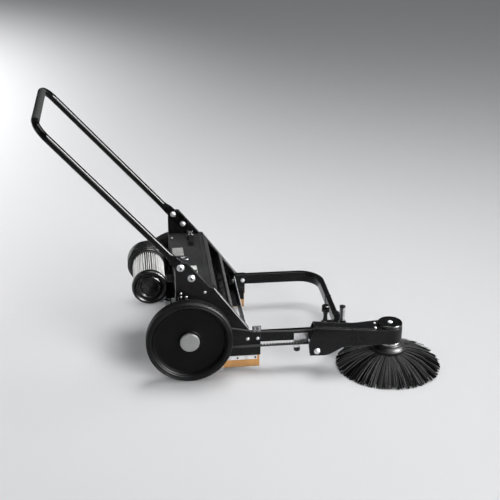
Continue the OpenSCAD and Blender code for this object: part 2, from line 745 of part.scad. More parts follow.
lock_x = 500;
spring_x = frame_x + 15;
module lock_bracket() machine() color([0.42, 0.42, 0.44]) {
  // saddle over the front bar
  box([frame_x - frame_w - 3, lock_y - 14, frame_top], [frame_x + 3, lock_y + 14, frame_top + 3]);
  box([frame_x, lock_y - 14, frame_low + 4], [frame_x + 3, lock_y + 14, frame_top]);
  difference() {
    box([lock_x - 13, lock_y - 13, frame_low + 2], [frame_x - frame_w, lock_y + 13, frame_low + 8]);
    translate([lock_x, lock_y, frame_low]) cylinder(r = 5 + run, h = 12);
  }
  // shelf and pin of the spring
  box([frame_x + 3, lock_y - 14, frame_low + 4], [frame_x + 28, lock_y + 14, frame_low + 8]);
  translate([spring_x, lock_y, frame_low + 8]) cylinder(r = 4, h = 62);
  translate([spring_x, lock_y, frame_low + 64]) cylinder(r = 11, h = 4);
}

module lock_spring() machine() color([0.65, 0.65, 0.66])
  for (i = [0 : 13]) translate([spring_x, lock_y, frame_low + 10.6 + 3.8 * i])
    rotate_extrude() translate([9, 0]) circle(1.8);

// Screw with a moulded knob, standing or hanging
module knob_screw(screw_r, len, knob_r, knob_h) {
  color([0.75, 0.75, 0.77]) cylinder(r = screw_r, h = len);
  color([0.05, 0.05, 0.05]) translate([0, 0, len]) difference() {
    cylinder(r = knob_r, h = knob_h);
    for (i = [0 : 5]) rotate(60 * i) translate([knob_r * 1.15, 0, -1]) cylinder(r = knob_r * 0.35, h = knob_h + 2);
  }
}

module stop_knob() machine() translate([stop_x, -frame_mid, frame_low - 0.4]) mirror([0, 0, 1])
  knob_screw(4, 27, 13, 25);

module lock_knob() machine() translate([lock_x, lock_y, frame_low - 12])
  knob_screw(5, 60, 14, 26);

// ---------- what is drawn ----------
right_plate();
left_plate();
top_cover();
rear_wall();
front_panel();
mouth_strip();
brush_hood();
handle_tube();
handle_grip();
handle_bolts();
front_frame();
frame_bolts();
stub_axles();
axle_nuts();
shaft_bearings();
side_skirts();
rear_skirt();
skirt_clamps();
skirt_screws();
skirt_ring();
plate_screws();
cover_labels();
cover_ring();
fan_housing();
fan_bracket();
filter_cartridge();
filter_cap();
filter_cradle();
fan_drive_belts();
belt_guides();
side_belt_rear();
arm_bracket();
arm_pivot_bolt();
lock_bracket();
lock_spring();
stop_clamp();
latch_base();
right_tyre();
right_disc();
right_hub_cap();
right_pulley();
left_tyre();
left_disc();
left_hub_cap();
left_gear();
brush_core();
brush_bristles();
brush_shaft();
lay_shaft();
fan_impeller();
arm_cover();
arm_cap();
side_belt_front();
side_spindle();
side_disc();
side_bristles();
latch_lever();
filter_clip();
stop_knob();
lock_knob();
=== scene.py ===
"""Walk-behind push sweeper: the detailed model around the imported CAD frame."""
import math
import random

import bmesh
import bpy
from mathutils import Matrix, Vector
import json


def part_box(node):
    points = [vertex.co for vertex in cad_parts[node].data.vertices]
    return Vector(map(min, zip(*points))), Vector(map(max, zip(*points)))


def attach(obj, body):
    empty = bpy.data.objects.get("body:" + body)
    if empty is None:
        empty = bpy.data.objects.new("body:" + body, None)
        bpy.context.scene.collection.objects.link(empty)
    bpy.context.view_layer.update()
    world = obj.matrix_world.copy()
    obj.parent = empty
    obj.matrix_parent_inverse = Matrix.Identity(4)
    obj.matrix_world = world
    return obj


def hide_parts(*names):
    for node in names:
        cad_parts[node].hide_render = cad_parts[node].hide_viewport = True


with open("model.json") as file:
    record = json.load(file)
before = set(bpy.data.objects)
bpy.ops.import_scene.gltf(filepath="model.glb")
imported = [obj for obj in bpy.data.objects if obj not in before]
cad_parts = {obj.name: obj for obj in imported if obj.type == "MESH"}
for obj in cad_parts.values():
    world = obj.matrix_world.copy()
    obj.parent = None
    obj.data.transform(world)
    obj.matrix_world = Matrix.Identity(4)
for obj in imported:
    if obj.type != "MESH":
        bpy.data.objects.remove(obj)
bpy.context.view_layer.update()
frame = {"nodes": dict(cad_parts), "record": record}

NODES = frame["nodes"]
SCENE = bpy.context.scene
RECORD = frame["record"]
SLOTS = {s["node"]: s["material_slot"] for s in RECORD["subparts"]}
BODY_OF = {n: b for b, ns in RECORD["behaviour"]["bodies"].items() for n in ns}
SCENE.view_settings.view_transform = "Standard"

# ---------- camera ----------
CAMERA_AT = Vector((-0.38008, -3.47211, 1.90749))
CAMERA_YAW, CAMERA_PITCH, CAMERA_ROLL = 0.11806, 0.41329, 0.0027
LENS, SENSOR = 77.06, 36.0


def make_camera():
    forward = Vector((math.sin(CAMERA_YAW) * math.cos(CAMERA_PITCH),
                      math.cos(CAMERA_YAW) * math.cos(CAMERA_PITCH), -math.sin(CAMERA_PITCH)))
    data = bpy.data.cameras.new("camera")
    data.lens, data.sensor_width = LENS, SENSOR
    data.clip_start, data.clip_end = 0.1, 60
    camera = bpy.data.objects.new("camera", data)
    SCENE.collection.objects.link(camera)
    camera.rotation_mode = "QUATERNION"
    camera.location = CAMERA_AT
    camera.rotation_quaternion = (forward.to_track_quat("-Z", "Y").to_matrix()
                                  @ Matrix.Rotation(CAMERA_ROLL, 3, "Z")).to_quaternion()
    SCENE.camera = camera


make_camera()


# ---------- places ----------
def middle(node):
    low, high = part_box(node)
    return (low + high) / 2


# The wheel axle's height is the tyre's radius; lengths below are millimetres from the axle line,
# the machine's middle plane and the floor, as in the CAD model.
ORIGIN = Vector((middle("right_tyre").x, middle("handle_tube").y, 0))


def at(x, y, z):
    return ORIGIN + Vector((x, y, z)) / 1000


def around(count):
    """The angles of count even steps around a circle."""
    return [2 * math.pi * i / count for i in range(count)]


def outward(profile, side, start=0):
    """A lathe profile with its heights measured outwards from start; side is -1 right and 1 left."""
    return [(r, start + side * h, *sides) for r, h, *sides in profile]


FAN_X, FAN_Z = -126, 286  # axis of the fan and filter
PLATE_Y = 250  # outer faces of the two side plates
COVER_TOP = 328  # flat top of the cover
LOCK_X, LOCK_Y = 500, -135  # lock screw
STOP_X, STOP_Y = 381, -237  # stop screw
SPRING_X = 562  # lock spring, level with the lock screw
FRAME_Z = 128  # middle height of the front frame's tube

# ---------- materials ----------
def grey(level):
    return (level, level, level)


BARE_METAL_AND_GLINT = (0.3, 0.3, 0.31)  # bare metal where paint is gone, and on edges also a painted highlight
EDGE_FAINT, EDGE_FULL = 0.02, 0.25  # turn of the normal where the paler edges start and are full


class Nodes:
    """A small helper that builds one material's node tree."""

    def __init__(self, name):
        self.mat = bpy.data.materials.new(name)
        self.mat.use_nodes = True
        self.tree = self.mat.node_tree
        self.shader = self.tree.nodes["Principled BSDF"]
        self.coords = self.add("ShaderNodeTexCoord").outputs["Object"]

    def add(self, kind, **values):
        node = self.tree.nodes.new(kind)
        for key, value in values.items():
            setattr(node, key, value)
        return node

    def link(self, a, b):
        self.tree.links.new(a, b)

    def noise(self, scale, detail, rough, stretch=None):
        node = self.add("ShaderNodeTexNoise")
        node.inputs["Scale"].default_value = scale
        node.inputs["Detail"].default_value = detail
        node.inputs["Roughness"].default_value = rough
        source = self.coords
        if stretch:
            mapping = self.add("ShaderNodeMapping")
            mapping.inputs["Scale"].default_value = stretch
            self.link(self.coords, mapping.inputs["Vector"])
            source = mapping.outputs["Vector"]
        self.link(source, node.inputs["Vector"])
        return node.outputs["Fac"]

    def remap(self, value, low, high, to_low, to_high):
        node = self.add("ShaderNodeMapRange")
        for key, number in (("From Min", low), ("From Max", high), ("To Min", to_low), ("To Max", to_high)):
            node.inputs[key].default_value = number
        self.link(value, node.inputs["Value"])
        return node.outputs["Result"]

    def mix(self, factor, a, b):
        node = self.add("ShaderNodeMix", data_type="RGBA")
        self.link(factor, node.inputs["Factor"])
        for socket, colour in ((node.inputs[6], a), (node.inputs[7], b)):
            if isinstance(colour, tuple):
                socket.default_value = (*colour, 1)
            else:
                self.link(colour, socket)
        return node.outputs[2]

    def times(self, a, b, operation="MULTIPLY"):
        node = self.add("ShaderNodeMath", operation=operation, use_clamp=True)
        for socket, value in zip(node.inputs, (a, b)):
            if isinstance(value, (int, float)):
                socket.default_value = value
            else:
                self.link(value, socket)
        return node.outputs["Value"]

    def bump(self, height, distance, strength):
        node = self.add("ShaderNodeBump")
        node.inputs["Strength"].default_value = strength
        node.inputs["Distance"].default_value = distance
        self.link(height, node.inputs["Height"])
        return node.outputs["Normal"]

    def edges(self, radius):
        """1 on edges, 0 on flats: where a rounded normal leaves the true one."""
        bevel = self.add("ShaderNodeBevel", samples=4)
        bevel.inputs["Radius"].default_value = radius
        geometry = self.add("ShaderNodeNewGeometry")
        dot = self.add("ShaderNodeVectorMath", operation="DOT_PRODUCT")
        self.link(bevel.outputs["Normal"], dot.inputs[0])
        self.link(geometry.outputs["Normal"], dot.inputs[1])
        return self.remap(self.times(1.0, dot.outputs["Value"], "SUBTRACT"), EDGE_FAINT, EDGE_FULL, 0, 1)

    def set(self, **values):
        for key, value in values.items():
            socket = self.shader.inputs[key.replace("_", " ")]
            if isinstance(value, bpy.types.NodeSocket):
                self.link(value, socket)
            elif isinstance(value, tuple):
                socket.default_value = (*value, 1)
            else:
                socket.default_value = value
        return self


def painted(name, colour, dusty, rough, coat, peel, gloss, worn_and_glinting_edges=True):
    """Powder coat or enamel on steel: orange peel, faint dust, and paler edges that are part bare metal, part
    painted highlight.
    """
    n = Nodes(name)
    cloud = n.noise(9, 4, 0.6)
    fine = n.noise(420, 2, 0.5)
    base = n.mix(n.remap(cloud, 0.45, 0.75, 0, 1), colour, dusty)
    rubbed_and_glint = n.remap(n.noise(900, 1, 0.4), 0.72, 0.78, 0, 0.4)
    if worn_and_glinting_edges:
        patches = n.remap(n.noise(160, 3, 0.6), 0.36, 0.56, 0, 1)
        # the pale edges are partly paint wear and partly painted highlight on edges
        rubbed_and_glint = n.times(n.times(n.edges(0.0016), patches), rubbed_and_glint, "MAXIMUM")
    base = n.mix(rubbed_and_glint, base, BARE_METAL_AND_GLINT)
    roughness = n.remap(n.times(cloud, n.noise(60, 3, 0.6)), 0.1, 0.45, rough - 0.05, rough + 0.1)
    n.set(Base_Color=base, Roughness=roughness, Normal=n.bump(fine, peel, 0.6))
    n.set(Coat_Weight=coat, Coat_Roughness=0.06, Specular_IOR_Level=gloss)
    return n.mat


def metal(name, colour, rough, stretch=None, grain=420, tarnish=(0.36, 0.35, 0.33)):
    """Plated or bare metal: drawn or cast grain, dull patches in the plating."""
    n = Nodes(name)
    cloud = n.noise(34, 4, 0.6)
    fine = n.noise(grain, 3, 0.6, stretch)
    base = n.mix(n.remap(cloud, 0.5, 0.78, 0, 0.7), colour, tarnish)
    roughness = n.remap(fine, 0.3, 0.7, rough - 0.08, rough + 0.14)
    n.set(Base_Color=base, Metallic=1.0, Roughness=roughness, Normal=n.bump(fine, 0.00005, 0.5))
    return n.mat


def moulded(name, colour, wear_and_sheen, rough, grain=0.00008, scale=700, spec=0.5):
    """Moulded plastic or rubber: fine erosion grain, scuffed paler on edges and in clouds."""
    n = Nodes(name)
    cloud = n.noise(16, 5, 0.65)
    fine = n.noise(scale, 2, 0.55)
    scuffs = n.times(n.edges(0.002), n.remap(n.noise(90, 4, 0.6), 0.4, 0.65, 0, 1))
    base = n.mix(n.remap(cloud, 0.42, 0.8, 0, 1), colour, wear_and_sheen)
    base = n.mix(scuffs, base, tuple(min(1, 1.5 * c + 0.02) for c in wear_and_sheen))
    roughness = n.remap(cloud, 0.3, 0.7, rough - 0.05, rough + 0.12)
    n.set(Base_Color=base, Roughness=roughness, Specular_IOR_Level=spec, Normal=n.bump(fine, grain, 0.7))
    return n.mat


def skirt_rubber():
    """Tan sheet rubber: darker streaks from the floor, a fine cloth-pressed surface."""
    n = Nodes("tan_sheet_rubber")
    streak = n.noise(26, 4, 0.6, (1, 1, 0.12))
    fine = n.noise(900, 1, 0.5)
    base = n.mix(n.remap(streak, 0.4, 0.7, 0, 1), (0.66, 0.33, 0.09), (0.50, 0.23, 0.06))
    low = n.add("ShaderNodeSeparateXYZ")
    n.link(n.coords, low.inputs[0])
    blotches = n.remap(n.noise(70, 4, 0.7), 0.35, 0.6, 0.2, 1)
    soiled = n.times(n.remap(low.outputs["Z"], 0.0, 0.03, 0.75, 0), blotches)
    base = n.mix(soiled, base, (0.13, 0.085, 0.05))
    n.set(Base_Color=base, Roughness=n.remap(streak, 0.3, 0.7, 0.5, 0.68), Normal=n.bump(fine, 0.0001, 0.6))
    return n.mat


def filter_paper():
    """Pleated filter paper: off-white folds, valleys painted dark as their shade, fibres."""
    n = Nodes("filter_paper")
    fibre = n.noise(600, 4, 0.7, (1, 0.2, 1))
    cloud = n.noise(22, 3, 0.6)
    from_axis = n.add("ShaderNodeVectorMath", operation="SUBTRACT")
    n.link(n.coords, from_axis.inputs[0])
    from_axis.inputs[1].default_value = at(FAN_X, 0, FAN_Z)
    flat = n.add("ShaderNodeVectorMath", operation="MULTIPLY")
    n.link(from_axis.outputs["Vector"], flat.inputs[0])
    flat.inputs[1].default_value = (1, 0, 1)
    radius = n.add("ShaderNodeVectorMath", operation="LENGTH")
    n.link(flat.outputs["Vector"], radius.inputs[0])
    paper_tone = n.mix(n.remap(cloud, 0.45, 0.75, 0, 1), (0.86, 0.86, 0.845), (0.66, 0.65, 0.62))
    # painted shade: the paper turns near black towards the axis, deep in the pleat valleys, for the shade
    # there
    base = n.mix(n.remap(radius.outputs["Value"], 0.0455, 0.0555, 0, 1), (0.035, 0.034, 0.032), paper_tone)
    n.set(Base_Color=base, Roughness=0.9, Normal=n.bump(fibre, 0.00015, 0.7))
    return n.mat


def filaments(name, dark, light):
    """Nylon bristle: nearly matt, each strand of its own tone between dark and light."""
    n = Nodes(name)
    tone = n.add("ShaderNodeAttribute", attribute_name="strand")
    base = n.mix(tone.outputs["Fac"], dark, light)
    roughness = n.remap(tone.outputs["Fac"], 0, 1, 0.3, 0.5)
    n.set(Base_Color=base, Roughness=roughness, Specular_IOR_Level=0.02)
    return n.mat


def printed_film(name="blank_label", pale=(0.36, 0.36, 0.35), soiled=(0.22, 0.22, 0.21)):
    """Blank label: plain film, slightly wrinkled and soiled."""
    n = Nodes(name)
    cloud = n.noise(60, 4, 0.6)
    base = n.mix(n.remap(cloud, 0.4, 0.7, 0, 1), pale, soiled)
    n.set(Base_Color=base, Roughness=0.38, Normal=n.bump(n.noise(200, 2, 0.5), 0.00005, 0.5))
    return n.mat


BLACK = painted("satin_black_paint", (0.0062, 0.0062, 0.0067), grey(0.0115), 0.3, 0.06, 0.00006, 0.14)
GLOSS = painted("gloss_black_paint", grey(0.003), grey(0.006), 0.1, 0.16, 0.000004, 0.05, False)
COVER = painted("dark_grey_paint", (0.024, 0.024, 0.025), (0.042, 0.042, 0.041), 0.42, 0.0, 0.0001, 0.2)
FRAME_PAINT = painted("frame_gloss_paint", grey(0.005), grey(0.009), 0.18, 0.14, 0.00003, 0.12)
# painted shade: the brush hood is made near black for the shade inside the mouth
HOOD_SHADE_PAINT = painted("hood_painted_shade", grey(0.0015), (0.004, 0.004, 0.0038), 0.6, 0.0, 0.0001, 0.02)
ZINC = metal("zinc_plate", (0.74, 0.74, 0.76), 0.36)
STEEL = metal("bare_steel", (0.50, 0.50, 0.51), 0.3, (1, 40, 1), 120)
ALLOY = metal("mill_aluminium", (0.82, 0.83, 0.85), 0.34, (0.06, 1, 1), 900)
TAN = skirt_rubber()
BELT = moulded("belt_rubber", grey(0.010), (0.022, 0.021, 0.02), 0.6)
TYRE = moulded("tyre_rubber", grey(0.0035), (0.0085, 0.0082, 0.008), 0.42, 0.00015, 500, 0.16)
PLASTIC = moulded("black_plastic", (0.006, 0.006, 0.0065), grey(0.013), 0.38, spec=0.35)
CAP = moulded("gloss_cap_plastic", grey(0.003), grey(0.006), 0.14, 0.00003, 300)
HUB = moulded("grey_hub_plastic", grey(0.30), (0.24, 0.24, 0.235), 0.42, 0.00004)
GRIP = moulded("grip_sleeve", (0.01, 0.01, 0.0105), (0.02, 0.02, 0.0195), 0.75, 0.00035, 380, 0.25)
PAPER = filter_paper()
# the light tone paints the sheen on the side brush's pale tufts
BRISTLE = filaments("black_bristle", grey(0.0008), grey(0.2))
LABEL = printed_film()
LABEL_PALE = printed_film("blank_pale_label", (0.74, 0.74, 0.72), (0.56, 0.56, 0.54))
DISC = moulded("wheel_disc_plastic", grey(0.0025), grey(0.005), 0.4, 0.00003, 500, 0.1)
CAP_GRAIN = moulded("grained_plastic", grey(0.004), (0.014, 0.014, 0.0135), 0.26, 0.0004, 260)
DULL_ZINC = metal("dull_zinc", (0.26, 0.26, 0.27), 0.34, tarnish=grey(0.12))
# painted highlight: pale metal for the thin beads that stand for lit edges
HIGHLIGHT_STEEL = metal("edge_highlight_steel", (0.30, 0.30, 0.31), 0.4)
SPRING_STEEL = metal("spring_steel", (0.15, 0.15, 0.155), 0.5, tarnish=grey(0.09))
SEAL = filaments("grey_seal_bristle", grey(0.10), (0.42, 0.42, 0.41))

FINISH = {  # the record's material slots
    "black_steel": BLACK, "cover_steel": COVER, "zinc": ZINC, "steel_shaft": STEEL,
    "clamp_aluminium": ALLOY, "tan_rubber": TAN, "belt_rubber": BELT, "tyre_rubber": TYRE,
    "black_plastic": PLASTIC, "gloss_cap": CAP, "hub_grey": HUB, "grip_foam": GRIP,
    "filter_paper": PAPER, "bristle": BRISTLE, "label_film": LABEL,
}
MATS = {  # nodes that don't look like their slot in the photo
    # the brush hood gets painted shade, darker than the other black paint
    "brush_hood": HOOD_SHADE_PAINT, "lock_bracket": BLACK, "latch_base": BLACK, "rear_skirt": BELT,
    "skirt_screws": BLACK, "belt_guides": DULL_ZINC,
}
BEVELS = {"left_plate": 0.8, "right_plate": 0.8, "lock_bracket": 0.6, "side_skirts": 0.7, "rear_skirt": 0.7,
          "arm_bracket": 1.2, "latch_lever": 1.4, "latch_base": 0.5, "filter_clip": 0.8, "stop_clamp": 0.5}


# ---------- building pieces ----------
DONE = set()  # CAD nodes that a detailed piece stands for


def finish_piece(obj, body, replaces=(), bevel=0.0, sharp=35):
    """Links a piece, shades it smooth with rounded edges, and ties it to its body."""
    if obj.name not in SCENE.collection.objects:
        SCENE.collection.objects.link(obj)
    mesh = obj.data
    mesh.polygons.foreach_set("use_smooth", [True] * len(mesh.polygons))
    if bevel:
        edge = obj.modifiers.new("rounded_edges", "BEVEL")
        edge.width, edge.segments = bevel / 1000, 2
        edge.limit_method, edge.angle_limit = "ANGLE", math.radians(28)
        edge.use_clamp_overlap, edge.harden_normals = True, True
    else:
        mesh.set_sharp_from_angle(angle=math.radians(sharp))
    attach(obj, body)
    if replaces:
        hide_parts(*replaces)
        DONE.update(replaces)


def rounded(node, bevel, mat=None, pick=None):
    """The CAD node's own shape with its edges rounded, or only those whose middle point pick accepts."""
    mesh = NODES[node].data.copy()
    work = bmesh.new()
    work.from_mesh(mesh)
    bmesh.ops.remove_doubles(work, verts=work.verts, dist=2e-6)
    bmesh.ops.dissolve_limit(work, angle_limit=math.radians(0.4), verts=work.verts, edges=work.edges)
    mesh.materials.clear()
    mesh.materials.append(mat or FINISH[SLOTS[node]])
    if pick:
        weight = work.edges.layers.float.new("bevel_weight_edge")
        for edge in work.edges:
            picked = pick(((edge.verts[0].co + edge.verts[1].co) / 2 - ORIGIN) * 1000)
            if len(edge.link_faces) == 2 and edge.calc_face_angle(0) > math.radians(40):
                edge[weight] = float(picked)
                edge.smooth = picked
    work.to_mesh(mesh)
    work.free()
    obj = bpy.data.objects.new(node + "_detail", mesh)
    finish_piece(obj, BODY_OF[node], [node], bevel)
    if pick:
        obj.modifiers["rounded_edges"].limit_method = "WEIGHT"
        obj.modifiers["rounded_edges"].segments = 3


class Build:
    """Collects vertices and faces, in millimetres from the machine's origin, into one piece."""

    def __init__(self):
        self.verts, self.faces = [], []

    def ring_strip(self, rings, closed=True, cap_start=False, cap_end=False):
        """Faces between rings of equal length; each ring is a list of points."""
        start, count = len(self.verts), len(rings[0])
        for ring in rings:
            self.verts.extend(ring)
        span = count if closed else count - 1
        for i in range(len(rings) - 1):
            for j in range(span):
                a, b = start + i * count + j, start + i * count + (j + 1) % count
                self.faces.append((a, b, b + count, a + count))
        if cap_start:
            self.faces.append(tuple(range(start + count - 1, start - 1, -1)))
        if cap_end:
            last = start + (len(rings) - 1) * count
            self.faces.append(tuple(range(last, last + count)))
        return self

    def lathe(self, profile, centre, axis="Y", steps=64, dent=None):
        """Turns (radius, height[, sides]) points about an axis; sides makes that ring a polygon."""
        centre, rings = Vector(centre), []
        for point in profile:
            radius, height = point[0], point[1]
            sides = point[2] if len(point) > 2 else 0
            ring = []
            for i in range(steps):
                turn = 2 * math.pi * i / steps
                r = max(radius, 0.01) + (dent(radius, height, i) if dent else 0)
                if sides:
                    sector = 2 * math.pi / sides
                    r = r / math.cos((turn % sector) - sector / 2)
                a, b = r * math.cos(turn), r * math.sin(turn)
                offset = {"X": (height, a, b), "Y": (a, height, b), "Z": (a, b, height)}[axis]
                ring.append(centre + Vector(offset))
            rings.append(ring)
        if profile[0][:2] != profile[-1][:2]:
            return self.ring_strip(rings, True, True, True)
        start, total = len(self.verts), len(rings) - 1
        for ring in rings[:-1]:
            self.verts.extend(ring)
        for i in range(total):
            for j in range(steps):
                k, m = (i + 1) % total, (j + 1) % steps
                self.faces.append((start + i * steps + j, start + i * steps + m,
                                   start + k * steps + m, start + k * steps + j))
        return self

    def tube(self, points, radius, sides=10, closed=False):
        """A round wire or tube along points."""
        points = [Vector(p) for p in points]
        rings, up = [], None
        for i, p in enumerate(points):
            before = points[i - 1] if i or closed else p
            after = points[(i + 1) % len(points)] if i < len(points) - 1 or closed else p
            forward = (after - before).normalized()
            if up is None:
                up = forward.orthogonal().normalized()
            up = (up - forward * up.dot(forward)).normalized()
            side = forward.cross(up)
            r = radius(i / (len(points) - 1)) if callable(radius) else radius
            rings.append([p + r * (math.cos(t) * up + math.sin(t) * side)
                          for t in around(sides)])
        if closed:
            rings.append(rings[0])
            return self.ring_strip(rings)
        return self.ring_strip(rings, True, True, True)

    def block(self, low, high):
        x0, y0, z0 = low
        x1, y1, z1 = high
        ring = [(x0, y0), (x1, y0), (x1, y1), (x0, y1)]
        return self.ring_strip([[Vector((x, y, z)) for x, y in ring] for z in (z0, z1)], True, True, True)

    def piece(self, name, body, slot, mat, replaces=(), bevel=0.0, sharp=35):
        """Makes the collected shape into a piece of the model."""
        mesh = bpy.data.meshes.new(name)
        mesh.from_pydata([ORIGIN + Vector(v) / 1000 for v in self.verts], [], self.faces)
        work = bmesh.new()
        work.from_mesh(mesh)
        bmesh.ops.remove_doubles(work, verts=work.verts, dist=1.5e-5)
        bmesh.ops.recalc_face_normals(work, faces=work.faces)
        work.to_mesh(mesh)
        work.free()
        mesh.materials.append(mat)
        finish_piece(bpy.data.objects.new(name, mesh), body, replaces, bevel, sharp)

    def stand_in(self, node, mat, sharp):
        """Makes it into the piece shown in place of a CAD node, on that node's body."""
        self.piece(node + "_detail", BODY_OF[node], SLOTS[node], mat, [node], sharp=sharp)


def smooth(t):
    t = min(1, max(0, t))
    return t * t * (3 - 2 * t)


def lerp(a, b, t):
    return a + (b - a) * t


# ---------- wheels ----------
AXLE = middle("right_tyre").z * 1000
TREAD_STEPS = 180


def wheel(side, name, tyre_in, hub_start):
    """Tyre, disc and hub cap; side is -1 right and 1 left, and profiles start at the tyre's inner face."""
    centre = (0, 0, AXLE)

    def cleats(r, h, step):
        shoulder = abs(abs(h) - tyre_in - 23)
        return -1.3 if 13.5 < shoulder < 18.5 and step % 3 == 0 and r > 148.5 else 0

    tyre = Build().lathe(outward([
        (125, 0), (134, 0.2), (141, 0.4), (145.6, 1.6), (148.4, 4), (149.4, 5.6), (149.8, 9.4), (150, 10.4),
        (150, 13), (148, 13.5), (148, 15), (150, 15.5), (150, 21.6), (148, 22.1), (148, 23.9), (150, 24.4),
        (150, 30.5), (148, 31), (148, 32.5), (150, 33), (150, 35.6), (149.8, 36.6), (149.4, 40.4),
        (148.4, 42), (145.8, 44.6), (143.4, 45.7), (141.2, 45.9), (140.4, 44.9), (138.8, 44.9), (138, 45.9),
        (134.6, 46), (132, 45.4), (130.4, 43.8), (129.4, 40.4), (125, 40), (125, 0)], side, side * tyre_in),
        centre, "Y", TREAD_STEPS, cleats)
    tyre.stand_in(name + "_tyre", TYRE, 32)
    disc = Build().lathe(outward([
        (10.05, hub_start), (23, hub_start), (24, hub_start + 1), (24, 21), (27, 23.4), (60, 25), (106, 25),
        (110, 23.6), (113, 6), (115, 3.4), (118, 3), (125, 3), (125, 39.9), (128.2, 40.4), (128.8, 42),
        (128, 43.6), (126.4, 43.8), (124.2, 41.6), (122.8, 38), (121.4, 31), (120.4, 28.4), (118, 27.4),
        (112, 27.2), (60, 27.8), (46, 28.6), (41, 30), (39.2, 33), (38.4, 35.6), (37.2, 36.2), (36.2, 35.4),
        (35.6, 32), (34.8, 31.4), (30, 31.6), (29.6, 35), (10.05, 35), (10.05, hub_start)],
        side, side * tyre_in), centre, "Y", 128)
    disc.stand_in(name + "_disc", DISC, 40)
    cap = Build().lathe(outward([
        (0, 45.9), (20, 45.7), (28, 45.2), (31.6, 44.2), (33.4, 42.4), (34, 40), (34, 35), (31.6, 35),
        (31.2, 40), (28, 43), (0, 43)], side, side * tyre_in), centre, "Y", 96)
    cap.stand_in(name + "_hub_cap", HUB, 50)


wheel(-1, "right", 262, -10.6)
wheel(1, "left", 304, -52.6)


# ---------- handle ----------
LEG_FOOT = Vector((-23, 0, 408))  # upper bolt
LEG = Vector((-447, 0, 504))
LEG_LENGTH = LEG.length
LEG_UP = LEG.normalized()
LEG_ACROSS = Vector((LEG_UP.z, 0, -LEG_UP.x))  # towards the front, square to the leg
TUBE_Y, TUBE_R, BEND_R, BOLT_GAP = 233, 12.5, 55, 54
LOW_BOLT = LEG_FOOT - LEG_UP * BOLT_GAP
PLATE_INNER = 247  # inner faces of the two side plates


def handle_tube():
    """One bent tube, pressed flat at both ends where the bolts go through."""
    path = []
    for u in [-BOLT_GAP - 17, -BOLT_GAP - 15.5, -BOLT_GAP - 11, -BOLT_GAP, -40, -20, 0, 10, 16] + \
            [20 + 3 * i for i in range(16)] + [70, 100, 200, 300, 400, 500, LEG_LENGTH - BEND_R - 8]:
        path.append((u, TUBE_Y))
    for i in range(17):
        turn = math.pi / 2 * i / 16
        path.append((LEG_LENGTH - BEND_R + BEND_R * math.sin(turn),
                     TUBE_Y - BEND_R + BEND_R * math.cos(turn)))
    half = path + [(LEG_LENGTH, 120), (LEG_LENGTH, 60)]
    whole = half + [(LEG_LENGTH, 0)] + [(u, -y) for u, y in reversed(half)]
    rings, sides = [], 40
    for i, (u, y) in enumerate(whole):
        before, after = whole[max(0, i - 1)], whole[min(len(whole) - 1, i + 1)]
        along = Vector((after[0] - before[0], after[1] - before[1]))
        along.normalize()
        normal = Vector((-along.y, along.x))  # in the (u, y) plane
        flat = 1 - smooth((u - 18) / 46)
        tip = 1.0
        if u < -BOLT_GAP:
            tip = math.sqrt(max(0.0, 1 - ((-BOLT_GAP - u) / 17.2) ** 2))
        half_thick = lerp(TUBE_R, 2.5, flat)
        half_wide = lerp(TUBE_R, 17, flat) * max(tip, 0.08)
        shift = (PLATE_INNER - 2.5 - TUBE_Y) * flat * (1 if y > 0 else -1)
        power = lerp(1.0, 0.35, flat)
        ring = []
        for t in around(sides):
            c, s = math.cos(t), math.sin(t)
            across = half_wide * math.copysign(abs(s) ** power, s)
            thick = half_thick * math.copysign(abs(c) ** power, c)
            point_u = u + normal.x * thick
            point_y = y + normal.y * thick + shift
            ring.append(LEG_FOOT + LEG_UP * point_u + LEG_ACROSS * across + Vector((0, point_y, 0)))
        rings.append(ring)
    Build().ring_strip(rings, True, True, True).stand_in("handle_tube", GLOSS, 55)


handle_tube()


def grip():
    """A thin sleeve with shallow ring grooves and rolled ends."""
    end = TUBE_Y - BEND_R
    profile = [(TUBE_R + 0.05, -end), (13.4, -end), (14, -end + 1.2)]
    y = -end + 8
    while y < end - 6:
        profile += [(14, y - 0.9), (13.6, y - 0.5), (13.6, y + 0.5), (14, y + 0.9)]
        y += 6.05
    profile += [(14, end - 1.2), (13.4, end), (TUBE_R + 0.05, end), (TUBE_R + 0.05, -end)]
    centre = LEG_FOOT + LEG_UP * LEG_LENGTH
    Build().lathe(profile, centre, "Y", 48).stand_in("handle_grip", GRIP, 35)


grip()


def turned_parts(build, x, z, side, parts):
    """Turns each (steps, profile) about the same line across the machine."""
    for steps, profile in parts:
        build.lathe(outward(profile, side), (x, 0, z), "Y", steps)


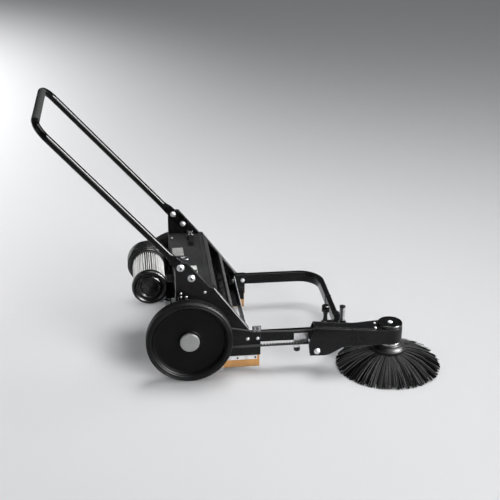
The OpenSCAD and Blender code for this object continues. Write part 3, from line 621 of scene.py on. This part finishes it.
def bolts():
    """Button-headed bolts through plates and handle, smaller ones through plates and front frame."""
    large = (
        (40, [(5.25, 250), (12.4, 250), (13, 250.5), (13, 251.4), (12.4, 251.9), (5.25, 251.9)]),
        (48, [(0, 251.9), (10.5, 251.9), (10.5, 253), (9.765, 254.6), (8.19, 256.1), (6.09, 257.1),
              (4.83, 257.5), (4.41, 257.4, 6), (4.2, 254.6, 6), (0, 254.2)]),
        (48, [(0, 234), (7.396, 234, 6), (8.17, 234.7, 6), (8.17, 239.3, 6), (7.396, 240, 6), (0, 240)]),
        (32, [(5, 240), (11, 240), (11, 242), (5, 242)]),
        (24, [(0, 232), (4.4, 232), (5, 233), (5, 251), (0, 251)]))
    build = Build()
    for s in (-1, 1):
        for p in (LEG_FOOT, LOW_BOLT):
            turned_parts(build, p.x, p.z, s, large)
    build.stand_in("handle_bolts", ZINC, 30)
    small = (
        (32, [(0, 250), (6, 250), (6, 250.9), (5.4, 251.1), (5, 251.1), (4.9, 252.6), (4.2, 253.6),
              (2.6, 254.2), (2.3, 254.1, 6), (2.2, 252.4, 6), (0, 252.3)]),
        (48, [(0, 220), (4.7, 220, 6), (5.2, 220.6, 6), (5.2, 225, 6), (4.7, 225.5, 6), (0, 225.5)]),
        (32, [(3, 225.5), (8, 225.5), (8, 227), (3, 227)]),
        (20, [(0, 220.5), (3, 220.5), (3, 250.5), (0, 250.5)]))
    build = Build()
    for s in (-1, 1):
        for x in (205, 240):
            turned_parts(build, x, 125, s, small)
    build.stand_in("frame_bolts", ZINC, 30)


bolts()


# ---------- brushes ----------
def strand_mesh(name, strands, sides=4, mat=BRISTLE):
    """Many thin filaments in one mesh; each strand is a list of (point, radius), and a tone from 0 to 1."""
    verts, faces, tones = [], [], []
    for points, tone in strands:
        first = len(verts)
        up = (points[1][0] - points[0][0]).orthogonal().normalized()
        for i, (p, r) in enumerate(points):
            forward = (points[min(i + 1, len(points) - 1)][0] - points[max(i - 1, 0)][0]).normalized()
            up = (up - forward * up.dot(forward)).normalized()
            side = forward.cross(up)
            for t in around(sides):
                verts.append(ORIGIN + (p + r * (math.cos(t) * up + math.sin(t) * side)) / 1000)
                tones.append(tone)
        for i in range(len(points) - 1):
            for k in range(sides):
                a, b = first + i * sides + k, first + i * sides + (k + 1) % sides
                faces.append((a, b, b + sides, a + sides))
        faces.append(tuple(range(first + sides - 1, first - 1, -1)))
        last = first + (len(points) - 1) * sides
        faces.append(tuple(range(last, last + sides)))
    mesh = bpy.data.meshes.new(name)
    mesh.from_pydata(verts, [], faces)
    layer = mesh.attributes.new("strand", "FLOAT", "POINT")
    layer.data.foreach_set("value", tones)
    mesh.materials.append(mat)
    return bpy.data.objects.new(name, mesh)


SIDE_X, SIDE_Y = 706, -262  # axis of the side brush


def side_bristles():
    """Rings of tufts splayed to the floor: pale tufts on the top row, among black ones, paint the sheen of
    the strands.
    """
    rng = random.Random(7)
    strands = []
    for start_r, start_z, reach, tufts, per_tuft, bow, thick, wear_and_sheen in (
            (36, 61.5, 152, 70, 6, 6.5, 1.1, 0), (43, 61.8, 166, 90, 6, 7, 1.1, 0),
            (49, 62, 176, 110, 6, 7, 1.1, 0),
            (53.5, 62.2, 181, 146, 5, 6.5, 1.1, 0), (56.5, 62.6, 182.5, 146, 1, 9.5, 1.0, 0.78)):
        for t in range(tufts):
            turn = 2 * math.pi * (t + rng.uniform(-0.2, 0.2) + (0.5 if wear_and_sheen else 0)) / tufts
            # painted sheen: the pale tufts stand for highlights along the black strands
            pale = rng.random() < wear_and_sheen
            tone = rng.uniform(0.35, 1) if pale else rng.uniform(0, 0.05)
            length = rng.gauss(0, 3.6)
            tip_z = 1.2 + 12 * rng.random() ** 3
            spread = 0.0016 if wear_and_sheen else 0.008
            for _ in range(per_tuft):
                turn0 = turn + rng.gauss(0, 0.003)
                turn1 = turn + rng.gauss(0, spread)
                r0 = start_r + rng.uniform(-1.2, 1.2)
                r1 = min(185.2, reach + length + rng.gauss(0, 2.2))
                z1 = tip_z + rng.uniform(0, 2.0)
                points = []
                for i in range(5):
                    u = i / 4
                    r, a = lerp(r0, r1, u ** 0.93), lerp(turn0, turn1, u)
                    z = max(start_z * (1 - u) + z1 * u + bow * math.sin(math.pi * u), 1.15)
                    place = Vector((SIDE_X + r * math.cos(a), SIDE_Y + r * math.sin(a), z))
                    points.append((place, lerp(0.6, thick, u)))
                strands.append((points, min(1, max(0, tone + rng.gauss(0, 0.05)))))
    obj = strand_mesh("side_bristles_detail", strands)
    finish_piece(obj, "side_brush", ["side_bristles"])


side_bristles()


def side_disc():
    """Moulded backing disc: a stepped rim under a domed top, flat underneath."""
    build = Build().lathe([
        (8, 64), (14, 63), (52, 62.4), (56, 62), (58.4, 63.6), (59, 66), (59, 73.6), (58.2, 75.4),
        (56.4, 76.4), (54.8, 76.2), (53.8, 77.6), (50, 81), (46, 83.8), (44.4, 84.4), (43.8, 86),
        (43.4, 88.4), (42, 89.8), (40, 90), (8, 90), (8, 64)], (SIDE_X, SIDE_Y, 0), "Z", 96)
    build.stand_in("side_disc", PLASTIC, 38)


side_disc()
rounded("side_spindle", 0.8)

ROLLER_X, ROLLER_Z, ROLLER_R = 80, 97, 95  # axis and reach of the main brush


def roller():
    """Main brush: twelve rows of tufts set on a slight helix around the core."""
    rng = random.Random(3)
    strands = []
    for row in range(12):
        for k in range(58):
            y = -229 + 458 * k / 57
            turn = 2 * math.pi * row / 12 + 0.12 + 0.55 * y / 232
            for _ in range(9):
                a = turn + rng.gauss(0, 0.03)
                lean = a + rng.gauss(0.03, 0.045)
                y0, y1 = y + rng.uniform(-2, 2), y + rng.gauss(0, 4.5)
                y1 = min(231, max(-231, y1))
                reach = ROLLER_R - abs(rng.gauss(0, 1.8))
                points = []
                for i in range(3):
                    u = i / 2
                    r = lerp(29, reach, u)
                    t = lerp(a, lean, u * u)
                    place = Vector((ROLLER_X + r * math.cos(t), lerp(y0, y1, u), ROLLER_Z + r * math.sin(t)))
                    points.append((place, lerp(0.9, 0.6, u)))
                strands.append((points, rng.random() ** 2))
    obj = strand_mesh("brush_bristles_detail", strands, 3)
    finish_piece(obj, "main_brush", ["brush_bristles"])


roller()


# ---------- filter and fan ----------
FILTER_AXIS = (FAN_X, 0, FAN_Z)


def cartridge():
    """Deep-pleated paper: narrow folds with open valleys, never quite even, with a rubber end band."""
    rng = random.Random(11)
    pleats, rings = 44, []
    depth = [rng.uniform(-0.9, 0.6) for _ in range(pleats)]
    shift = [rng.uniform(-0.2, 0.2) for _ in range(pleats)]
    fold = ((0, 56.6), (0.1, 56.9), (0.24, 56.2), (0.38, 50), (0.52, 43.5), (0.66, 43), (0.8, 43.5),
            (0.92, 50))
    for y in (-118, -112, -90, -66, -40, -14, 12, 34, 50):
        ring = []
        for i in range(pleats):
            for u, r in fold:
                wave = shift[i] + 0.08 * math.sin(y / 24 + 2.1 * i)
                turn = 2 * math.pi * (i + u + wave * (1 if r > 52 else 0.3)) / pleats
                rr = r + (depth[i] if r > 52 else 0)
                ring.append(Vector((FAN_X + rr * math.cos(turn), y, FAN_Z + rr * math.sin(turn))))
        rings.append(ring)
    inner = []
    for p in rings[-1]:
        dx, dz = p.x - FAN_X, p.z - FAN_Z
        inner.append((FAN_X + 39 * dx / math.hypot(dx, dz), FAN_Z + 39 * dz / math.hypot(dx, dz)))
    rings.append([Vector((x, 50, z)) for x, z in inner])
    rings.append([Vector((x, -118, z)) for x, z in inner])
    rings.append(rings[0])
    Build().ring_strip(rings).stand_in("filter_cartridge", PAPER, 35)
    band = Build().lathe(
        [(57.6, 44), (59.4, 44.4), (59.8, 46), (59.8, 49.8), (57.6, 49.8), (57.6, 44)], FILTER_AXIS, "Y", 96)
    band.piece("filter_end_band", "chassis", "belt_rubber", BELT, sharp=40)


cartridge()


def filter_cap():
    """Dished end cap with a rolled rim, and six short ribs around its middle."""
    build = Build().lathe([
        (0, -134.4), (9, -134.4), (10, -133.6), (12, -133.2), (22, -132.8), (24.4, -132.2), (26, -131.4),
        (32.6, -131.4), (34, -132.4), (35, -136), (36.4, -137.8), (39, -138), (40.6, -137), (42.4, -133.4),
        (44, -132.4), (48, -132.4), (50, -133.4), (52.4, -137.6), (54, -139.2), (57, -140), (60, -139),
        (61.8, -136.6), (62.5, -133.6), (62.5, -126), (61.4, -125.2), (61.4, -123.8), (62.5, -123),
        (62.5, -119.2), (61.4, -118), (0, -118)], FILTER_AXIS, "Y", 128)
    for k in range(6):
        a = math.pi * k / 3 + 0.3
        p = Vector((math.cos(a), 0, math.sin(a)))
        q = Vector((-math.sin(a), 0, math.cos(a)))
        c = Vector(FILTER_AXIS)
        ring = [c + p * u + q * v for u, v in ((25, -1.6), (33, -1.6), (33, 1.6), (25, 1.6))]
        build.ring_strip([[v + Vector((0, y, 0)) for v in ring] for y in (-135.4, -130)], True, True, True)
    build.stand_in("filter_cap", CAP_GRAIN, 40)


filter_cap()


def fan_housing():
    """Stepped housing behind the cartridge, with eight small studs on its face."""
    build = Build().lathe([
        (30, 54), (58.6, 54), (59.6, 53), (60.6, 50.6), (62, 50), (63.6, 50.4), (64.6, 52.6), (65.6, 54),
        (68.4, 54.2), (69.4, 55), (70, 57.4), (71, 58), (73, 58.2), (74.4, 59.2), (75, 61), (75, 76),
        (74, 77), (74, 80), (75, 81), (75, 108.6), (74, 111), (72, 112), (60, 112), (59, 110.8),
        (30, 110.8), (29, 112), (6.05, 112), (6.05, 104), (64, 104), (64, 62), (30, 62), (30, 54)],
        FILTER_AXIS, "Y", 128)
    for k in range(8):
        a = 2 * math.pi * k / 8 + 0.2
        c = Vector(FILTER_AXIS) + Vector((67.6 * math.cos(a), 0, 67.6 * math.sin(a)))
        build.lathe([(0, 57.6), (2.6, 57.6), (3, 57), (3, 54), (0, 54)], c, "Y", 16)
    build.stand_in("fan_housing", CAP_GRAIN, 40)


fan_housing()


# ---------- side arm ----------
def arm_cap():
    """Gloss cap on the side arm's boss, and its screw."""
    build = Build().lathe([
        (0, 158), (42, 158), (43.2, 158.6), (44, 160.4), (44, 164.4), (43.4, 166.8), (42, 168.8),
        (40.6, 169.8), (39, 170), (37, 169.4), (34, 169.2), (15, 169), (14, 169.6), (12, 169.8),
        (11, 169), (0, 169)],
        (SIDE_X, SIDE_Y, 0), "Z", 128)
    build.stand_in("arm_cap", CAP, 45)
    screw = Build().lathe([
        (0, 169), (9, 169), (9, 169.6), (8, 169.8), (8, 170.6), (7, 171.6), (5.4, 172), (4.2, 172),
        (4, 171.8, 6), (3.9, 169.6, 6), (0, 169.5)], (SIDE_X, SIDE_Y, 0), "Z", 48)
    screw.piece("arm_cap_screw", "side_arm", "zinc", ZINC, sharp=30)


arm_cap()


def helix_spring():
    """Compression spring beside the bar."""
    bottom, top, r, turns = 118.4, 170.2, 9, 11
    points = []
    for i in range(turns * 22 + 1):
        u = i / (turns * 22)
        t = 2 * math.pi * turns * u
        points.append((SPRING_X + r * math.cos(t), LOCK_Y + r * math.sin(t), lerp(bottom, top, u)))
    Build().tube(points, 1.5, 8).stand_in("lock_spring", SPRING_STEEL, 60)


helix_spring()


def fluted_knob(name, body, x, y, z0, z1, radius, screw_r, screw_z0, screw_z1, flutes):
    """Moulded knob with grip flutes and a bevelled end at z1, and its screw."""
    up = 1 if z1 > z0 else -1
    height = abs(z1 - z0)
    rings = []
    for r, h in ((0.3, 0), (radius * 0.72, 0), (radius * 0.9, 0.9), (radius, 3), (radius, height * 0.55),
                 (radius, height - 4), (radius * 0.95, height - 1.6), (radius * 0.84, height - 0.3),
                 (radius * 0.6, height - 0.3), (radius * 0.5, height), (0.3, height)):
        ring = []
        for t in around(flutes * 8):
            cut = 1.1 * max(0, math.cos(flutes * t)) if r > radius * 0.8 else 0
            ring.append(Vector((x + (r - cut) * math.cos(t), y + (r - cut) * math.sin(t), z0 + up * h)))
        rings.append(ring)
    build = Build().ring_strip(rings, True, True, True)
    build.piece(name + "_head", body, "black_plastic", CAP, [name], sharp=40)
    profile = [(0, screw_z0), (screw_r - 0.8, screw_z0), (screw_r, screw_z0 + up * 1.2)]
    z = screw_z0 + up * 2
    while (screw_z1 - z) * up > 2:
        profile += [(screw_r, z), (screw_r - 0.55, z + up * 0.6), (screw_r, z + up * 1.2)]
        z += up * 1.25
    profile += [(screw_r, screw_z1), (0, screw_z1)]
    screw = Build().lathe(profile, (x, y, 0), "Z", 24)
    screw.piece(name + "_screw", body, "black_plastic", ZINC, sharp=60)


def lock_sleeve():
    """Waisted plastic sleeve around the lock screw, under its knob."""
    profile = [(5.1, 122), (8.4, 122), (9, 122.8), (9, 126), (7.6, 128), (7.2, 146), (8.6, 150),
               (9, 155.8), (5.1, 155.8), (5.1, 122)]
    Build().lathe(profile, (LOCK_X, LOCK_Y, 0), "Z", 32).piece(
        "lock_sleeve", "lock_screw", "black_plastic", PLASTIC, sharp=40)


lock_sleeve()
fluted_knob("lock_knob", "lock_screw", LOCK_X, LOCK_Y, 156, 182, 14, 5, 96, 156, 14)
fluted_knob("stop_knob", "stop_screw", STOP_X, STOP_Y, 79.6, 62, 11.5, 4, 107.6, 79.6, 6)


# ---------- cover and small parts ----------
def wire_rings():
    """A ring, link and staple on the cover, and a ring hanging on a wire at the right skirt."""
    points = [(7 + 12 * math.cos(t), 6 + 12 * math.sin(t), 329.6 + 0.4 * math.sin(2 * t))
              for t in around(40)]
    build = Build().tube(points, 1.3, 10, True)
    link = [(-4 + 3 * math.cos(t), 8 + 5 * math.sin(t), 330.6 + 1.4 * math.cos(t)) for t in around(24)]
    build.tube(link, 0.9, 8, True)
    staple = [(-10, 9, COVER_TOP), (-10, 9, 331), (-9, 8.8, 332.4), (-7, 8.4, 332.6), (-5.6, 8, 331.6),
              (-5.4, 8, COVER_TOP)]
    build.tube(staple, 1.2, 8)
    build.piece("cover_ring_detail", "chassis", "zinc", DULL_ZINC, ["cover_ring"], sharp=60)
    build = Build()
    x = 113
    ring = [(x + 6 * math.cos(t), -253.4 + 0.3 * math.sin(t), 16 + 6 * math.sin(t)) for t in around(32)]
    build.tube(ring, 1.1, 8, True)
    wire = ((-253.4, 21), (-253.4, 38), (-252.6, 42), (-251, 44.6), (-249.7, 44.8))
    build.tube([(x, y, z) for y, z in wire], 1.2, 8)
    build.stand_in("skirt_ring", ZINC, 60)


wire_rings()


def labels():
    """Two plain film labels, one with two dark patches; neither carries lettering."""
    for name, low, high, mat, nodes in (
            ("cover_label_rear", (-36, 34), (4, 104), LABEL, ["cover_labels"]),
            ("cover_label_front", (3, -118), (43, -60), LABEL_PALE, [])):
        build = Build()
        build.block((*low, COVER_TOP), (*high, COVER_TOP + 0.35))
        build.piece(name, "chassis", "label_film", mat, nodes, 0.15)
    build = Build()
    build.block((26, -116, 328.3), (41, -96, 328.5))
    build.block((6, -84, 328.3), (22, -64, 328.5))
    build.piece("cover_label_blocks", "chassis", "label_film", PLASTIC, bevel=0.05)


labels()


def latch_details():
    """The latch's fixed screws, and the wire loop that stays on its keeper."""
    screw = [(0, 0), (3.6, 0), (3.6, 0.8), (2.8, 1.8), (1.4, 2.1), (1.3, 1.2, 6), (0, 1.1)]
    build = Build()
    for x, y, z in ((31, 236, 337), (45, 236, 337), (30, 218, 330), (46, 218, 330), (30, 200, 330),
                    (46, 200, 330)):
        build.lathe(outward(screw, 1, z), (x, y, 0), "Z", 24)
    build.piece("latch_screws", "chassis", "zinc", ZINC, sharp=30)
    build = Build()
    build.tube([(33.4, 192, 339.4), (33.4, 206, 341), (34, 220, 340), (36, 226, 338.4), (40, 226, 338.4),
                (42, 220, 340), (42.6, 206, 341), (42.6, 192, 339.4), (38, 191.9, 339.2)], 1.3, 8, True)
    build.piece("latch_loop", "chassis", "zinc", ZINC, sharp=60)


latch_details()


def cover_seams():
    """Raised seams of the cover, and dark strips along its front slope that paint the shade in the folds of
    its lip.
    """
    for name, x0, x1, z0, z1 in (("cover_rear_seam", -40.5, -38.5, 325, 330.2),
                                 ("cover_front_seam", 70, 72, 327, 329.6)):
        seam = Build().block((x0, -246.5, z0), (x1, 246.5, z1))
        seam.piece(name, "chassis", "cover_steel", COVER, bevel=0.7)
    # painted shade: dark strips for the shaded bands of the folded lip
    build = Build()
    build.block((98.5, -218.5, 300.6), (101, 218.5, 303.2))
    for x, z in ((87.4, 326.4), (93.6, 318), (99.6, 309.8)):
        build.tube([(x, -216, z), (x, 216, z)], 2.5, 8)
    build.piece("cover_lip_shade_strips", "chassis", "cover_steel", BELT)


cover_seams()


# ---------- front frame, arm and mouth ----------
def sweep_box(path, width, height, corner, wall):
    """A hollow rectangular tube along a level path, with rounded corners."""
    def section(w, h, r):
        points = []
        for cx, cz, start in ((w / 2 - r, h / 2 - r, 0), (-w / 2 + r, h / 2 - r, 90),
                              (-w / 2 + r, -h / 2 + r, 180), (w / 2 - r, -h / 2 + r, 270)):
            for k in range(6):
                t = math.radians(start + 18 * k)
                points.append((cx + r * math.cos(t), cz + r * math.sin(t)))
        return points

    def rings(w, h, r):
        out = []
        for i, p in enumerate(path):
            along = (path[min(i + 1, len(path) - 1)] - path[max(i - 1, 0)]).normalized()
            side = Vector((along.y, -along.x, 0))
            out.append([p + side * a + Vector((0, 0, b)) for a, b in section(w, h, r)])
        return out

    outer = rings(width, height, corner)
    inner = rings(width - 2 * wall, height - 2 * wall, max(corner - wall, 0.6))
    return outer + inner[::-1] + [outer[0]]


def front_frame():
    """The bent rectangular tube in front, and its ground butt weld."""
    half, x_end, weld_y = 237, 537, 14
    route = [(188, half), (300, half), (400, half)]
    for i in range(25):
        t = math.pi / 2 * i / 24
        route.append((452 + 85 * math.sin(t), 152 + 85 * math.cos(t)))
    route += [(x_end, 80), (x_end, 16), (x_end, weld_y), (x_end, 12)]
    route += [(x, -y) for x, y in reversed(route[:-3])]
    path = [Vector((x, y, FRAME_Z)) for x, y in route]
    Build().ring_strip(sweep_box(path, 20, 40, 3.4, 2)).stand_in("front_frame", FRAME_PAINT, 40)
    rng = random.Random(5)
    points = []
    for x, z in ((526.4, 108.4), (526.4, 120), (526.4, 136), (526.6, 147.8), (532, 148.6), (541, 148.6),
                 (547.4, 147.8), (547.6, 136), (547.6, 120), (547.4, 108.2), (541, 107.6), (532, 107.6)):
        points.append((x, weld_y + rng.uniform(-0.5, 0.5), z))
    weld = Build().tube(points, 1.3, 8, True)
    weld.piece("frame_weld", "chassis", "black_steel", FRAME_PAINT, sharp=60)


front_frame()


def arm_top(x):
    """Height of the arm cover's top, which slopes up behind the cap."""
    return 158 + 0.1009 * max(0, 661 - x)


rounded("arm_cover", 1.7, pick=lambda p: p.z > arm_top(p.x) - 1.3)


def arm_ribs():
    """Pressed ridges along the arm's sloping top, and the two screws beside the cap."""
    start = 436
    build = Build()
    for y0, y1, end in ((-300.5, -303, 652), (-292, -294, 652), (-256, -258, 586)):
        rings = []
        for x in (start, 440, 500, 560, 580, end - 2, end):
            lift = 1.3 if start < x < end else 0.2
            low, high = arm_top(x) - 0.4, arm_top(x) + lift
            rings.append([Vector((x, y0, low)), Vector((x, y0 - 0.5, high)),
                          Vector((x, y1 + 0.5, high)), Vector((x, y1, low))])
        build.ring_strip(rings, True, True, True)
    build.piece("arm_ridges", "side_arm", "black_steel", BLACK, bevel=0.5)
    screw = [(0, -0.5), (4.6, -0.5), (4.6, 0.8), (3.6, 2.4), (2.2, 2.8), (2, 2.7, 6), (1.9, 1.6, 6), (0, 1.5)]
    build = Build()
    for x, y in ((650, -281), (655, -246)):
        build.lathe(outward(screw, 1, arm_top(x)), (x, y, 0), "Z", 24)
    build.piece("arm_screws", "side_arm", "zinc", ZINC, sharp=30)


arm_ribs()


def belt_teeth():
    """Square teeth on the lower run of the side brush belt, and the height stop's tab."""
    build = Build()
    for k in range(38):
        x = 50 + 10 * k
        build.block((x, -259.2, 99.4), (x + 5.6, -253.2, 104.6))
    build.piece("side_belt_teeth", "chassis", "belt_rubber", BELT, bevel=0.6)
    build = Build()
    build.block((366, -249.3, 80), (389, -247.4, 100))
    build.piece("stop_tab", "chassis", "zinc", ZINC, bevel=0.5)


belt_teeth()


def bolt_recesses():
    """Dark discs in the hexagon recesses of the large bolts, painted shade at their bottoms."""
    parts = ((24, [(0, 256), (3.6, 256), (3.9, 256.4), (3.6, 256.9), (1.2, 256.5), (0, 256.5)]),)
    build = Build()
    for s in (-1, 1):
        for p in (LEG_FOOT, LOW_BOLT):
            turned_parts(build, p.x, p.z, s, parts)
    # painted shade: the dark discs stand for the shade deep in the hexagon recesses
    build.piece("bolt_recess_painted_shade", "chassis", "zinc", BELT, sharp=30)


bolt_recesses()


def plate_edges():
    """Folded rear flanges of the side plates, with thin bright beads along their edges as painted highlights.
    """
    build = Build()
    for s in (-1, 1):
        low, high = sorted((s * 238, s * 250.3))
        build.block((-42.6, low, 66), (-39.4, high, 398))
    build.piece("plate_rear_flanges", "chassis", "black_steel", FRAME_PAINT, bevel=0.9)
    # painted highlights: thin bright beads where the rear edges catch the light
    build = Build()
    for s in (-1, 1):
        for x, y, top in ((-42.3, PLATE_Y, 396), (-33.4, PLATE_Y + 0.2, 300)):
            build.tube([(x, s * y, 70), (x, s * y, 180), (x, s * y, top)], 0.8, 8)
    build.piece("plate_rear_highlight_beads", "chassis", "black_steel", HIGHLIGHT_STEEL)


plate_edges()


def slope_beads():
    """Thin bright beads along the sloping front flanges of the side plates, as painted highlights."""
    # painted highlights: bright beads where the flange edges catch the light
    build = Build()
    for s in (-1, 1):
        for y, reach in ((249.2, 1), (241, 0.9)):
            slope = [(lerp(87, 216.4, u), s * y, lerp(327.4, 151, u)) for u in (0.02, 0.3, 0.7, reach)]
            build.tube(slope, 0.9, 8)
    build.piece("slope_flange_highlight_beads", "chassis", "black_steel", HIGHLIGHT_STEEL)


slope_beads()


def mouth_seal():
    """Short stiff bristles standing out of the strip across the mouth."""
    rng = random.Random(9)
    strands = []
    base_a, base_b = Vector((145, 0, 249)), Vector((155, 0, 236))
    out = Vector((13, 0, 10)).normalized()
    for k in range(720):
        y = -218 + 436 * k / 719
        for _ in range(2):
            p = base_a.lerp(base_b, rng.uniform(0.1, 0.9)) + Vector((0, y + rng.uniform(-0.4, 0.4), 0))
            reach = rng.uniform(2.4, 4.2)
            stray = [rng.uniform(-most, most) for most in (0.8, 1.2, 0.8)]
            tip = p + out * reach + Vector(stray)
            strands.append(([(p - out * 0.8, 0.55), (tip, 0.3)], rng.random()))
    obj = strand_mesh("mouth_seal_bristles", strands, 3, SEAL)
    finish_piece(obj, "chassis")


mouth_seal()


def panel_rivets():
    """Row of small rivets along the front panel's upper edge."""
    rivet = [(0, -0.4), (2.4, -0.4), (2.3, 0.9), (1.6, 1.7), (0, 2)]
    build = Build()
    for k in range(30):
        build.lathe(outward(rivet, 1, 206.2), (0, -210 + 420 * k / 29, 147.2), "X", 14)
    build.piece("panel_rivets", "chassis", "zinc", DULL_ZINC, sharp=40)


panel_rivets()

for node in NODES:
    if node not in DONE:
        rounded(node, BEVELS.get(node, 0.5), MATS.get(node))


# ---------- lights and floor ----------
def add_light(name, kind, where, towards, power):
    """A lamp at a place, turned to shine along towards."""
    data = bpy.data.lights.new(name, kind)
    data.energy = power
    light = bpy.data.objects.new(name, data)
    SCENE.collection.objects.link(light)
    light.location = where
    light.rotation_mode = "QUATERNION"
    light.rotation_quaternion = Vector(towards).to_track_quat("-Z", "Y")
    return light


def area_light(name, where, target, size, power, size_y=None):
    light = add_light(name, "AREA", where, Vector(target) - Vector(where), power)
    light.data.size = size
    if size_y:
        light.data.shape, light.data.size_y = "RECTANGLE", size_y
    return light


def lights():
    """Soft lamps from above, front and left, a pool on the floor, and one panel for gleams."""
    area_light("top", (0.5, 0.35, 3.3), (0.1, 0, 0.1), 1.7, 82)
    area_light("front", (2.5, -3.7, 2.1), (0.4, -0.3, 0.0), 1.6, 100)
    area_light("left", (-3.6, -1.6, 2.0), (0, 0, 0.3), 1.2, 16)
    pool = add_light("far_left_floor", "SPOT", (-4.8, 4.3, 4.4), (0.1, -0.7, -4.4), 4500).data
    pool.spot_size, pool.spot_blend, pool.shadow_soft_size = math.radians(104), 1, 0.6
    # only reflections see this one, for the thin gleams along the tubes
    gleam = area_light("gleam", (3.4, -1.2, 2.75), (-0.3, -0.2, 0.7), 1.5, 1200, 2.4)
    gleam.visible_diffuse = False


def surroundings():
    """A pale, dim sky, dimmer still in reflections."""
    world = bpy.data.worlds.new("world")
    world.use_nodes = True
    tree = world.node_tree
    background = tree.nodes["Background"]
    background.inputs["Color"].default_value = (0.82, 0.84, 0.86, 1)
    rays = tree.nodes.new("ShaderNodeLightPath")
    strength = tree.nodes.new("ShaderNodeMapRange")
    strength.inputs["To Min"].default_value = 0.25
    strength.inputs["To Max"].default_value = 0.07
    tree.links.new(rays.outputs["Is Glossy Ray"], strength.inputs["Value"])
    tree.links.new(strength.outputs["Result"], background.inputs["Strength"])
    SCENE.world = world


def make_floor():
    far = 90  # metres each way, so that no edge shows
    mesh = bpy.data.meshes.new("floor")
    mesh.from_pydata([(-far, -far, 0), (far, -far, 0), (far, far, 0), (-far, far, 0)], [], [(0, 1, 2, 3)])
    floor = bpy.data.objects.new("floor", mesh)
    SCENE.collection.objects.link(floor)
    finish = Nodes("pale_floor")
    finish.set(Base_Color=(0.69, 0.69, 0.70), Roughness=0.6, Specular_IOR_Level=0.1)
    mesh.materials.append(finish.mat)


lights()
surroundings()
make_floor()


def write_size():
    import json


write_size()
